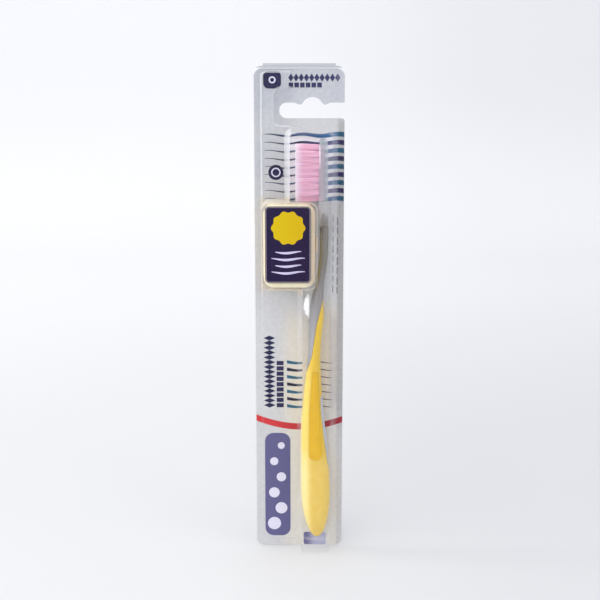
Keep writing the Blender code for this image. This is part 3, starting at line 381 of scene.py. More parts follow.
# Zones of the brush
CORE_UPPER = (("Z", 92.0 * MM, 150.0 * MM),)
CORE_BOTTOM = (("Z", 90.0 * MM, 80.0 * MM),)
HEAD_FLARED = (("Z", 174.0 * MM, 168.0 * MM),)
# Right side of the head, paler and opener: painted light where its edge catches the lamps
HEAD_LIT_RIGHT = (("X", HEAD_X + 0.4 * MM, HEAD_X + HEAD_THICKNESS * 0.4),)
HEAD_TONGUE = (("Z", 166.0 * MM, 161.0 * MM), ("X", 9.6 * MM, 11.2 * MM))
HEAD_GLINT = (
    ("Z", 184.0 * MM, 189.0 * MM),
    ("Z", 196.5 * MM, 195.0 * MM),
    ("X", HEAD_FACE_X + 0.9 * MM, HEAD_FACE_X + 0.4 * MM),
)
HEAD_ALPHAS = (0.52, 0.92)      # seen face on, and seen edge on
HEAD_FLARED_SHARE = 0.42        # alpha of the flared neck and of the right side with its painted light, over the rest's
HEAD_LIT_RIGHT_SHARE = 0.5
HEAD_TONGUE_ALPHA = 0.8
HEAD_GLINT_ALPHA = 0.9
GRIP_LOWER = (("Z", 56.0 * MM, 44.0 * MM),)
# Left side of the grip: painted light where the lamps at the left fall on it
GRIP_LIT_LEFT = (("X", 6.5 * MM, 2.4 * MM),)
STRIP_UPPER = (("Z", 130.0 * MM, 157.0 * MM),)
STRAND_TO_ROOT = (("X", HEAD_FACE_X - BRISTLE_LENGTH - 0.6 * MM, HEAD_FACE_X - 6.4 * MM),)
CAP_RIGHT_SIDE = (("X", 2.0 * MM, 7.0 * MM),)

# Zones of the floor, in metres, where painted shade darkens it, and the light that it gives to the rays that
# see it
FLOOR_SHADE_RIGHT = (("X", -0.1, 0.35),)
FLOOR_SHADE_RIGHT_NEAR = (("X", -0.05, 0.12),)
FLOOR_FAR = (("Y", 0.0, 0.9),)
FLOOR_RAISED = (("Z", 0.0, 0.25),)
FLOOR_GLOW = 0.05

# Inks: stops of (place across the pack, colour) from left to right
INKS = {
    "blue_ink": (
        (-16.0 * MM, (86, 92, 104)),
        (-6.0 * MM, (46, 54, 88)),
        (0.0 * MM, (30, 62, 112)),
        (16.0 * MM, (40, 94, 144)),
        (19.0 * MM, (16, 76, 104)),
    ),
    "violet_ink": (
        (-16.0 * MM, (82, 82, 96)),
        (-6.0 * MM, (40, 36, 74)),
        (16.0 * MM, (68, 66, 118)),
        (19.0 * MM, (30, 20, 74)),
    ),
    "teal_ink": ((0.0 * MM, (26, 92, 122)), (8.0 * MM, (108, 98, 104))),
    "dark_ink": ((0.0 * MM, (20, 24, 56)), (8.0 * MM, (104, 92, 98))),
    "red_ink": ((-20.0 * MM, (206, 42, 48)), (20.0 * MM, (156, 24, 44))),
    "purple_ink": ((0.0 * MM, (90, 87, 136)), (3.5 * MM, (104, 103, 144)), (8.0 * MM, (172, 174, 202))),
    "navy_ink": ((-20.0 * MM, (6, 4, 64)), (20.0 * MM, (46, 44, 92))),
    "pale_ink": ((-20.0 * MM, (222, 220, 240)), (20.0 * MM, (222, 220, 236))),
    "grey_ink": ((-20.0 * MM, (112, 110, 118)), (20.0 * MM, (104, 102, 110))),
    "label_ink": ((-20.0 * MM, (30, 18, 58)), (10.0 * MM, (34, 18, 56))),
    "sun_ink": ((-12.0 * MM, (208, 178, 2)), (4.0 * MM, (202, 168, 2))),
    "lavender_ink": ((-12.0 * MM, (206, 198, 228)), (4.0 * MM, (190, 184, 216))),
}
INK_MOTTLE = 0.015              # how much paler an ink is in places

# Prints on the film: the ink's thickness, and the waves
INK = 0.04 * MM
WAVE_COUNT = 9
WAVE_TOP = 200.4 * MM
WAVE_PITCH = 3.68 * MM
WAVE_LEFT = -15.9 * MM
WAVE_RIGHT = 20.6 * MM
WAVE_LENGTH = 16.0 * MM
WAVE_CREST = 1.7 * MM
WAVE_HEIGHT = 0.42 * MM
WAVE_THIN = 0.24 * MM
WAVE_THICK = 2.3 * MM
WAVE_SWELL = 1.15               # power by which a wave thickens to the right
TOP_WAVE_SWELL = 0.75
LOW_WAVE_COUNT = 7
LOW_WAVE_TOP = 93.1 * MM
LOW_WAVE_PITCH = 3.62 * MM
LOW_WAVE_CREST = 7.5 * MM
LOW_WAVE_LEFT = (-5.9 * MM, 1.5 * MM, 1.65 * MM, 0.95 * MM)     # left end, right end, their widths
LOW_WAVE_RIGHT = (9.6 * MM, 15.8 * MM, 0.62 * MM, 0.3 * MM)
BAND_MIDDLE = 61.2 * MM
BAND_RISE = 4.15 * MM
BAND_SHIFT = 1.15 * MM          # the band's lowest point, right of the pack's middle
BAND_WIDTH = 3.1 * MM
BAND_REACH = 20.6 * MM

# Patches of print: left, right, bottom, top and corner radius
PANEL = (-16.6 * MM, -4.3 * MM, 5.5 * MM, 58.0 * MM, 4.2 * MM)
BADGE = (-16.4 * MM, -8.3 * MM, 221.3 * MM, 229.1 * MM, 2.3 * MM)
BASE_PRINT = (2.1 * MM, 13.1 * MM, 0.9 * MM, 7.3 * MM, 1.0 * MM)
BADGE_MIDDLE = ((BADGE[0] + BADGE[1]) / 2, (BADGE[2] + BADGE[3]) / 2)
BADGE_RING = 1.6 * MM
BADGE_DOT = 0.9 * MM
ROSETTE = (-10.8 * MM, 183.3 * MM)
ROSETTE_RADIUS = 3.5 * MM
ROSETTE_RING = ROSETTE_RADIUS * 0.62
ROSETTE_DOT = ROSETTE_RADIUS * 0.45
BUBBLE_COUNT = 6
BUBBLE_RADIUS = 3.2 * MM        # of the lowest, and each next one is smaller by the step
BUBBLE_STEP = 0.3 * MM
BUBBLE_SWAY_SHARE = 0.14        # how far a bubble lies to the side, over the panel's width
BUBBLE_START = 0.8              # height of the lowest bubble and of the panel, in bubbles
BUBBLE_ROWS = 6.6
LOZENGE_WIDTH = 2.4 * MM
LOZENGE_LENGTH = 4.0 * MM
LOZENGE_PITCH = 2.36 * MM
DASH_WIDTH = 2.1 * MM
DASH_HEIGHT = 2.4 * MM
DASH_PITCH = 2.6 * MM
ROW_GAP = 3.6 * MM              # from a row of lozenges to its row of dashes
# Lozenge rows: start, direction, step to the dashes as shares, lozenges, dashes
LOZENGE_ROWS = (
    ((-3.8 * MM, 226.2 * MM), (1, 0), (0, -0.92), 10, 6),
    ((-14.2 * MM, 71.9 * MM), (0, 1), (1.4, 0), 15, 9),
)
FINE_PRINT_LEFT = 15.5 * MM
FINE_PRINT_TOP = 163.5 * MM
FINE_PRINT_WIDTH = 0.5 * MM
FINE_PRINT_PITCH = 2.0 * MM
FINE_PRINT_COLUMNS = 2
FINE_PRINT_ROWS = 8
FINE_PRINT_ROW_PITCH = 4.7 * MM
FINE_PRINT_STAGGER = 1.1 * MM   # how much lower the next column starts
FINE_PRINT_LENGTH = 3.0 * MM
FINE_PRINT_LONGER = 0.6 * MM    # how much longer every other dash is

# Label print
LABEL_RIM = 0.75 * MM
SUN = (-5.0 * MM, 159.6 * MM)
SUN_RADIUS = 7.8 * MM
SUN_RAYS = 10
SUN_RAY_SHARE = 0.10
LABEL_WAVE_TOP = 148.6 * MM
LABEL_WAVE_PITCH = 3.1 * MM
LABEL_WAVE_COUNT = 4
LABEL_WAVE_REACH = 7.6 * MM
LABEL_WAVE_SHORT_SHARE = 0.78   # reach of every other wave
LABEL_WAVE_THIN = 0.3 * MM      # width at the ends, and how much is added in the middle
LABEL_WAVE_SWELL = 0.8 * MM

# Camera, as the photograph was taken
CAMERA_TARGET = (0.33 * MM, FLANGE_Y, 123.4 * MM)
CAMERA_DISTANCE = 525.8 * MM
CAMERA_PITCH = math.radians(11.0)
CAMERA_LENS = 66.94             # millimetres, on the sensor's width
SENSOR_WIDTH = 36.0
CAMERA_CLIP = 0.01

# Studio, in metres: the floor sweeps up behind the object
SWEEP_FRONT = -2.2
SWEEP_BACK = 0.9                # where the floor starts to rise
SWEEP_RADIUS = 0.5
SWEEP_TOP = 2.6
SWEEP_REACH = 3.0               # half the floor's width
WORLD_COLOUR = (0.97, 0.98, 1.0, 1.0)
WORLD_STRENGTH = 0.84
CLEAR_LAYERS = 32               # how many clear surfaces a ray may pass
# Lamps: name, place, size, power, colour
LAMPS = (
    ("key", (-0.62, -0.80, 0.78), 1.5, 8.6, (1.0, 0.985, 0.96)),
    ("side", (-1.05, 0.06, 0.50), 0.22, 2.2, (1.0, 0.99, 0.97)),
    ("fill", (0.80, -0.55, 0.50), 0.7, 1.6, (0.96, 0.98, 1.0)),
)


def add_object(name, data):
    """A named object of a mesh, lamp or camera, in the scene."""
    thing = bpy.data.objects.new(name, data)
    bpy.context.scene.collection.objects.link(thing)
    return thing


def add_bmesh(name, bm):
    """A named object from a bmesh, as it is."""
    mesh = bpy.data.meshes.new(name)
    bm.to_mesh(mesh)
    bm.free()
    return add_object(name, mesh)


def make_object(name, bm):
    """A named object from a bmesh, with its faces pointing out."""
    bmesh.ops.recalc_face_normals(bm, faces=bm.faces)
    return add_bmesh(name, bm)


def combine(target, operation, *tools):
    """Joins to, cuts from or intersects with the target each tool in turn, and removes the tools."""
    for tool in tools:
        modifier = target.modifiers.new("boolean", "BOOLEAN")
        modifier.operation = operation
        modifier.solver = "EXACT"
        modifier.object = tool
        depsgraph = bpy.context.evaluated_depsgraph_get()
        result = bpy.data.meshes.new_from_object(target.evaluated_get(depsgraph))
        target.modifiers.clear()
        target.data = result
        bpy.data.objects.remove(tool)
    return target


def rounded_outline(corners, inset=0.0):
    """Points round a closed outline in the XZ plane, given anticlockwise as (x, z, radius).

    A positive inset moves every side inwards. Each corner gives the same number of points
    whatever the inset, so outlines of one shape can be lofted.
    """
    count = len(corners)
    points = []
    for index in range(count):
        before = Vector(corners[index - 1][:2])
        here = Vector(corners[index][:2])
        after = Vector(corners[(index + 1) % count][:2])
        arriving = (here - before).normalized()
        leaving = (after - here).normalized()
        turn = arriving.cross(leaving)
        half_angle = math.atan2(turn, arriving.dot(leaving)) / 2
        inwards = (Vector((-arriving.y, arriving.x)) + Vector((-leaving.y, leaving.x))).normalized()
        corner = here + inwards * inset / math.cos(half_angle)
        side = 1 if turn > 0 else -1
        radius = corners[index][2]
        if radius > 0:
            radius = max(radius - side * inset, 0.0)
        if radius <= 0:
            points.extend([corner] * (ARC_STEPS + 1) if corners[index][2] > 0 else [corner])
            continue
        centre = corner + inwards * side * radius / math.cos(half_angle)
        start = corner - arriving * radius * abs(math.tan(half_angle))
        spoke = start - centre
        for step in range(ARC_STEPS + 1):
            cosine = math.cos(2 * half_angle * step / ARC_STEPS)
            sine = math.sin(2 * half_angle * step / ARC_STEPS)
            turned = Vector((spoke.x * cosine - spoke.y * sine, spoke.x * sine + spoke.y * cosine))
            points.append(centre + turned)
    return points


def rectangle(left, right, bottom, top, radius):
    """Corners of a rounded rectangle, for rounded_outline."""
    return (left, bottom, radius), (right, bottom, radius), (right, top, radius), (left, top, radius)


def loft(name, rings):
    """A closed solid through rings of equally many points, with a flat cap at each end."""
    bm = bmesh.new()
    rows = [[bm.verts.new(point) for point in ring] for ring in rings]
    count = len(rings[0])
    for lower, upper in zip(rows, rows[1:]):
        for index in range(count):
            following = (index + 1) % count
            bm.faces.new((lower[index], lower[following], upper[following], upper[index]))
    bm.faces.new(list(reversed(rows[0])))
    bm.faces.new(rows[-1])
    return make_object(name, bm)


def prism(name, corners, levels):
    """A solid of one outline, through levels given as (y, inset of the outline)."""
    rings = [[(p.x, y, p.y) for p in rounded_outline(corners, inset)] for y, inset in levels]
    return loft(name, rings)


def plate(name, corners, front, back, inset=0.0):
    """A flat piece of one outline between two depths."""
    return prism(name, corners, ((front, inset), (back, inset)))


def block(name, low, high):
    """A plain box between two corners."""
    bm = bmesh.new()
    bmesh.ops.create_cube(bm, size=1)
    for vertex in bm.verts:
        for axis in range(3):
            vertex.co[axis] = low[axis] if vertex.co[axis] < 0 else high[axis]
    return make_object(name, bm)


def rod(name, start, end, radius):
    """A round bar between two points."""
    direction = Vector(end) - Vector(start)
    turn = direction.to_track_quat("Z", "Y").to_matrix().to_4x4()
    bm = bmesh.new()
    bmesh.ops.create_cone(
        bm,
        cap_ends=True,
        segments=BEAD_SIDES,
        radius1=radius,
        radius2=radius,
        depth=direction.length,
        matrix=Matrix.Translation((Vector(start) + Vector(end)) / 2) @ turn,
    )
    return make_object(name, bm)


def sheet_corners():
    """Outline of the whole pack."""
    return rectangle(-PACK_WIDTH / 2, PACK_WIDTH / 2, 0.0, SHEET_TOP, PACK_CORNER)


def surround_place():
    """Left, bottom and top of the flat field around the hang slot."""
    left = FLANGE_WIDTH + SLOT_SURROUND_LEFT - PACK_WIDTH / 2
    top = SHEET_TOP - TOP_BAND_MARGIN - TOP_BAND_HEIGHT
    return left, top - SLOT_SURROUND_HEIGHT, top


def field_corners():
    """Outline of the raised field, which goes round the hang slot's flat surround."""
    side = PACK_WIDTH / 2 - FLANGE_WIDTH
    left, bottom, top = surround_place()
    band_top = SHEET_TOP - TOP_BAND_MARGIN
    return (
        (-side, FOOT_RIM, FIELD_CORNER),
        (side, FOOT_RIM, FIELD_CORNER),
        (side, bottom, FIELD_CORNER),
        (left, bottom, FIELD_CORNER),
        (left, top, FIELD_CORNER),
        (side, top, FIELD_CORNER),
        (side, band_top, FIELD_CORNER),
        (-side, band_top, FIELD_CORNER),
    )


def slot_corners():
    """Outline of the hang slot, run past the pack's right edge where it is open."""
    left, bottom, _ = surround_place()
    start = left + SLOT_MARGIN
    sill = bottom + SLOT_SILL
    middle = start + SLOT_LOBE + SLOT_DIP / 2 + SLOT_DOME_WIDTH / 2
    dome = SLOT_DOME_WIDTH / 2
    rise = dome / 2
    mouth = PACK_WIDTH / 2 + SHEET / 4
    end = PACK_WIDTH / 2 + OVERRUN
    return (
        (start, sill, SLOT_CORNER),
        (mouth, sill, SLOT_MOUTH),
        (mouth, sill - SLOT_MOUTH - SHEET, 0.0),
        (end, sill - SLOT_MOUTH - SHEET, 0.0),
        (end, sill + SLOT_HEIGHT, 0.0),
        (middle + dome + rise, sill + SLOT_HEIGHT, LOBE_RADIUS),
        (middle + dome, sill + SLOT_DIP, DIP_RADIUS),
        (middle + rise, sill + SLOT_DOME_HEIGHT, DOME_RADIUS),
        (middle - rise, sill + SLOT_DOME_HEIGHT, DOME_RADIUS),
        (middle - dome, sill + SLOT_DIP, DIP_RADIUS),
        (middle - dome - rise, sill + SLOT_HEIGHT, LOBE_RADIUS),
        (start, sill + SLOT_HEIGHT, SLOT_CORNER),
    )


def slot_cutter():
    """Cutter of the hang slot, through all the sheets."""
    front = FLANGE_Y - FIELD_DEPTH - OVERRUN
    return plate("slot_cutter", slot_corners(), front, FLANGE_Y + DEPTH_BEHIND + OVERRUN)


def brush_bay_corners():
    """Base outline of the brush's bay: wide beside the bristles, narrow beside the handle."""
    slope = BRUSH_BAY_DRAFT / 2 + SHEET
    right = BRUSH_OFFSET + HANDLE_THICKNESS / 2 + BAY_CLEARANCE_RIGHT + slope
    handle_left = BRUSH_OFFSET - HANDLE_THICKNESS / 2 - BAY_CLEARANCE_LEFT - slope
    tips_left = HEAD_FACE_X - BRISTLE_LENGTH - BAY_CLEARANCE_TIPS - slope
    step = (CAP_BOTTOM + CAP_TOP) / 2
    return (
        (handle_left, BRUSH_LIFT - BAY_CLEARANCE_END - slope, BAY_END_CORNER),
        (right, BRUSH_LIFT - BAY_CLEARANCE_END - slope, BAY_END_CORNER),
        (right, HEAD_TOP + BAY_CLEARANCE_TOP + slope, BAY_CORNER),
        (tips_left, HEAD_TOP + BAY_CLEARANCE_TOP + slope, BAY_CORNER),
        (tips_left, step, BAY_CORNER),
        (handle_left, step, BAY_CORNER),
    )


def cap_bay_corners():
    """Base outline of the cap's bay."""
    left = CAP_LEFT - CAP_BAY_CLEARANCE_LEFT - SHEET
    grow = CAP_BAY_CLEARANCE + SHEET
    return rectangle(left, CAP_RIGHT + grow, CAP_BOTTOM - grow, CAP_TOP + grow, CAP_BAY_CORNER)


def label_corners():
    """Outline of the label."""
    (left, bottom, _), _, (right, top, _), _ = cap_bay_corners()
    return rectangle(
        left + LABEL_MARGIN_LEFT,
        right - LABEL_MARGIN_RIGHT,
        bottom + LABEL_MARGIN_BOTTOM,
        top - LABEL_MARGIN_TOP,
        LABEL_CORNER,
    )


def foot_solid(wall, back):
    """The foot under the brush's bay, drafted at its sides and cut flat at the floor."""
    left = BRUSH_OFFSET - FOOT_WIDTH / 2
    right = BRUSH_OFFSET + FOOT_WIDTH / 2
    corners = rectangle(left, right, -FOOT_HEIGHT, FOOT_HEIGHT, FOOT_CORNER)
    levels = bay_levels(FOOT_DEPTH, FOOT_DRAFT, FOOT_EDGE, wall, back)
    low = (left - OVERRUN, FLANGE_Y - FOOT_DEPTH - OVERRUN, wall)
    high = (right + OVERRUN, FLANGE_Y + back + OVERRUN, FOOT_HEIGHT + OVERRUN)
    return combine(prism("foot", corners, levels), "INTERSECT", block("foot_room", low, high))


def bay_levels(depth, draft, edge, wall, back):
    """Levels of a bay's solid: its drafted sides, its rounded front edge and its flat front.

    The wall is 0 for the outer skin, and the sheet's thickness for the hollow inside it.
    """
    rounding = max(edge - wall, edge / 4)
    straight = depth - wall - rounding
    levels = [(FLANGE_Y + back, wall)]
    levels.append((FLANGE_Y - straight, wall + draft))
    for step in range(1, EDGE_STEPS + 1):
        angle = math.pi / 2 * step / EDGE_STEPS
        inset = wall + draft + rounding * (1 - math.cos(angle))
        levels.append((FLANGE_Y - straight - rounding * math.sin(angle), inset))
    return levels


def blister_solid(wall, back):
    """The raised shapes of the front blister as one solid, shrunk by a wall, from a back plane."""
    field = bay_levels(FIELD_DEPTH, FIELD_DRAFT, SHEET, wall, back)
    brush = bay_levels(BRUSH_BAY_DEPTH, BRUSH_BAY_DRAFT, BRUSH_BAY_EDGE, wall, back)
    cap = bay_levels(CAP_BAY_DEPTH, CAP_BAY_DRAFT, CAP_BAY_EDGE, wall, back)
    solid = prism("blister_solid", field_corners(), field)
    combine(
        solid,
        "UNION",
        prism("brush_bay", brush_bay_corners(), brush),
        prism("cap_bay", cap_bay_corners(), cap),
        foot_solid(wall, back),
    )
    return solid


def smooth_between(rows, height):
    """Values at a height, on a smooth curve through rows of (height, value, value, ...)."""
    last = len(rows) - 1
    upper = next((i for i, row in enumerate(rows) if row[0] >= height), last)
    upper = max(upper, 1)
    lower = upper - 1
    span = rows[upper][0] - rows[lower][0]
    share = (height - rows[lower][0]) / span
    values = []
    for column in range(1, len(rows[0])):
        slopes = []
        for index in (lower, upper):
            first = max(index - 1, 0)
            second = min(index + 1, last)
            rise = rows[second][column] - rows[first][column]
            slopes.append(rise / (rows[second][0] - rows[first][0]) * span)
        start = rows[lower][column]
        end = rows[upper][column]
        values.append(
            start * (1 + 2 * share) * (1 - share) ** 2
            + slopes[0] * share * (1 - share) ** 2
            + end * share**2 * (3 - 2 * share)
            + slopes[1] * share**2 * (share - 1)
        )
    return values


def body_rows():
    """Stations of the handle and the neck: height, middle, thickness and width."""
    handle = (BRUSH_LIFT, HANDLE_LENGTH, HANDLE_THICKNESS, HANDLE_THICKNESS, HANDLE_WIDTH)
    neck = (NECK_Z, NECK_LENGTH, HEAD_OFFSET, NECK_THICKNESS, NECK_WIDTH)
    rows = []
    for sizes, stations in ((handle, HANDLE_STATION_SHARES), (neck, NECK_STATION_SHARES)):
        bottom, length, reach, full_thickness, full_width = sizes
        for height, bow, thickness, width in stations:
            middle = BRUSH_OFFSET + bow * reach
            rows.append((bottom + height * length, middle, thickness * full_thickness, width * full_width))
    return rows


def ring(middle, height, half_thickness, half_width, squareness):
    """One level of the brush: a superellipse in the XY plane."""
    points = []
    for step in range(RING_POINTS):
        angle = 2 * math.pi * (step + 0.5) / RING_POINTS
        cosine = math.cos(angle)
        sine = math.sin(angle)
        x = middle + half_thickness * math.copysign(abs(cosine) ** (2 / squareness), cosine)
        y = BRUSH_Y + half_width * math.copysign(abs(sine) ** (2 / squareness), sine)
        points.append((x, y, height))
    return points


def end_factor(rise, length):
    """Share of the full section at a rise above a rounded end of that length."""
    if rise >= length:
        return 1.0
    return math.sqrt(max(1 - (1 - rise / length) ** 2, 0.0))


def body_heights(bottom, top):
    """Heights of the body's rings, closer together at the rounded end."""
    rises = [
        HANDLE_END_LENGTH * (1 - math.cos(math.pi / 2 * (step + 0.5) / END_STEPS))
        for step in range(END_STEPS)
    ]
    heights = [BRUSH_LIFT + rise for rise in rises]
    start = BRUSH_LIFT + HANDLE_END_LENGTH
    heights += [start + (TONGUE_Z - start) * step / BODY_RINGS for step in range(BODY_RINGS + 1)]
    inside = [height for height in heights if bottom + END_FLAT < height < top - END_FLAT]
    return [bottom, *inside, top]


def body_loft(name, inset, bottom, top):
    """The handle and neck between two heights, shrunk all round by an inset."""
    rows = body_rows()
    rings = []
    for height in body_heights(bottom, top):
        middle, thickness, width = smooth_between(rows, height)
        rise = height - BRUSH_LIFT
        half_thickness = thickness / 2 * end_factor(rise, HANDLE_END_LENGTH) - inset
        half_width = width / 2 * end_factor(rise, HANDLE_END_DEPTH) - inset
        rings.append(ring(middle, height, half_thickness, half_width, NECK_SQUARENESS))
    return loft(name, rings)


def shares_outline(rows):
    """Corners for rounded_outline, from shares of the handle's thickness and length."""
    return tuple(
        (
            BRUSH_OFFSET + across * HANDLE_THICKNESS,
            BRUSH_LIFT + along * HANDLE_LENGTH,
            rounding * HANDLE_THICKNESS,
        )
        for across, along, rounding in rows
    )


def brush_prism(name, rows, inset, front, back):
    """Prism of a side-view outline through the brush, between two offsets from its middle."""
    return plate(name, shares_outline(rows), BRUSH_Y + front, BRUSH_Y + back, inset)


def full_body(name):
    """The whole outside of the handle and neck."""
    return body_loft(name, 0.0, BRUSH_LIFT + END_FLAT, TONGUE_Z)


def tongue_solid():
    """The core's peg in the head, tapering at its end."""
    middle = tongue_middle()
    levels = [(TONGUE_Z - GAP, 1.0)]
    levels += [(TONGUE_Z + TONGUE_LENGTH * along, scale) for along, scale in TONGUE_STATION_SHARES]
    rings = [
        ring(middle, height, TONGUE_THICKNESS / 2 * scale, TONGUE_WIDTH / 2 * scale, 2)
        for height, scale in levels
    ]
    return loft("tongue", rings)


def tongue_middle():
    """The core's middle where its tongue enters the head."""
    return smooth_between(body_rows(), TONGUE_Z)[0]


def flank(side):
    """Depths of one flank of the grip, from near the middle to outside the handle."""
    return sorted((side * HANDLE_WIDTH / 8, side * HANDLE_WIDTH))


def inlay_zone(name, grow):
    """Slab over the neck's bristle side that holds the soft strip, grown by an amount."""
    rows = body_rows()
    bottom = NECK_Z + NECK_LENGTH * INLAY_START_SHARE - grow
    top = TONGUE_Z - NECK_LENGTH * INLAY_STOP_SHARE + grow
    rings = []
    for step in range(INLAY_STEPS + 1):
        height = bottom + (top - bottom) * step / INLAY_STEPS
        middle, thickness, _ = smooth_between(rows, height)
        face = middle - thickness / 2
        swell = INLAY_END_SHARE + math.sin(math.pi * step / INLAY_STEPS)
        left = face - OVERRUN
        right = face + INLAY_THICKNESS * min(1.0, swell) + grow
        front = BRUSH_Y - NECK_WIDTH
        back = BRUSH_Y + NECK_WIDTH
        corners = ((left, front), (right, front), (right, back), (left, back))
        rings.append([(x, y, height) for x, y in corners])
    return loft(name, rings)


def head_solid(name):
    """Outside of the head: the neck's end, the flare, the flat plate and its rounded tip."""
    middle, thickness, width = smooth_between(body_rows(), TONGUE_Z)
    levels = [(TONGUE_Z + GAP, 0.0)]
    levels += [
        (HEAD_Z + HEAD_FLARE * (step / HEAD_STEPS - 0.5), step / HEAD_STEPS)
        for step in range(HEAD_STEPS + 1)
    ]
    straight = HEAD_TOP - HEAD_TIP
    rings = []
    for height, share in levels:
        blend = share * share * (3 - 2 * share)
        place = middle + (HEAD_X - middle) * blend
        half_thickness = (thickness + (HEAD_THICKNESS - thickness) * blend) / 2
        half_width = (width + (HEAD_WIDTH - width) * blend) / 2
        squareness = NECK_SQUARENESS + (HEAD_SQUARENESS - NECK_SQUARENESS) * blend
        rings.append(ring(place, height, half_thickness, half_width, squareness))
    for step in range(HEAD_STEPS + 1):
        angle = HEAD_TIP_TURN * step / HEAD_STEPS
        half_thickness = HEAD_THICKNESS / 2 * (1 - (1 - math.cos(angle)) / 3)
        half_width = HEAD_WIDTH / 2 * max(math.sqrt(math.cos(angle)), HEAD_TIP_WIDTH_SHARE)
        height = straight + HEAD_TIP * math.sin(angle)
        rings.append(ring(HEAD_X, height, half_thickness, half_width, HEAD_SQUARENESS))
    return loft(name, rings)


def tuft_places():
    """Middle of each tuft as (across, height); the end columns leave out the outer rows."""
    middle = slice_middle()
    places = []
    for column in range(TUFT_COLUMNS):
        height = middle + (column - (TUFT_COLUMNS - 1) / 2) * TUFT_PITCH_ALONG
        for row in range(TUFT_ROWS):
            at_end = column in (0, TUFT_COLUMNS - 1)
            if at_end and row in (0, TUFT_ROWS - 1):
                continue
            across = (row - (TUFT_ROWS - 1) / 2) * TUFT_PITCH_ACROSS
            places.append((BRUSH_Y + across, height))
    return places


def slice_middle():
    """Height of the middle of the bristles, set back from the head's tip."""
    half = (TUFT_COLUMNS - 1) / 2 * TUFT_PITCH_ALONG
    return HEAD_TOP - TUFT_SETBACK - STRAND_SPACING - STRAND_RADIUS - half


def cap_corners():
    """Outline of the travel cap."""
    return rectangle(CAP_LEFT, CAP_RIGHT, CAP_BOTTOM, CAP_TOP, CAP_CORNER)


def cap_levels(wall):
    """Levels of the cap's rounded box, from its front to its back, shrunk by a wall."""
    front = CAP_BACK_Y - CAP_THICKNESS + wall
    back = CAP_BACK_Y - wall
    edge = CAP_EDGE - wall
    angles = [math.pi / 2 * step / EDGE_STEPS for step in range(EDGE_STEPS + 1)]
    steps = [(edge * (1 - math.sin(angle)), wall + edge * (1 - math.cos(angle))) for angle in angles]
    start = [(front + depth, inset) for depth, inset in reversed(steps)]
    end = [(back - depth, inset) for depth, inset in steps]
    return start + end


def cap_shell(name, front, back):
    """The part of the cap's hollow box between two depths."""
    shell = prism(name, cap_corners(), cap_levels(0.0))
    combine(shell, "DIFFERENCE", prism("cap_hollow", cap_corners(), cap_levels(CAP_WALL)))
    low = (CAP_LEFT - OVERRUN, front, CAP_BOTTOM - OVERRUN)
    high = (CAP_RIGHT + OVERRUN, back, CAP_TOP + OVERRUN)
    combine(shell, "INTERSECT", block("cap_part", low, high))
    middle_y = CAP_BACK_Y - CAP_THICKNESS / 2
    right = CAP_RIGHT - NECK_HOLE_MARGIN
    hole = block(
        "neck_hole",
        (right - NECK_HOLE, middle_y - NECK_HOLE / 2, CAP_BOTTOM - OVERRUN),
        (right, middle_y + NECK_HOLE / 2, CAP_BOTTOM + CAP_WALL + OVERRUN),
    )
    combine(shell, "DIFFERENCE", hole)
    return shell


def cap_bead(name, radius, overlap):
    """Bead along the cap's left side that the lid folds about."""
    middle = (CAP_BOTTOM + CAP_TOP) / 2
    half = CAP_BEAD_LENGTH / 2 + overlap
    low, high = ((CAP_LEFT, CAP_SPLIT_Y, height) for height in (middle - half, middle + half))
    return rod(name, low, high, radius)


def tone(red, green, blue):
    """A linear colour with alpha 1 from an sRGB colour of 0 to 255."""
    linear = []
    for level in (red, green, blue):
        share = level / 255
        linear.append(share / 12.92 if share <= 0.04045 else ((share + 0.055) / 1.055) ** 2.4)
    return (*linear, 1.0)


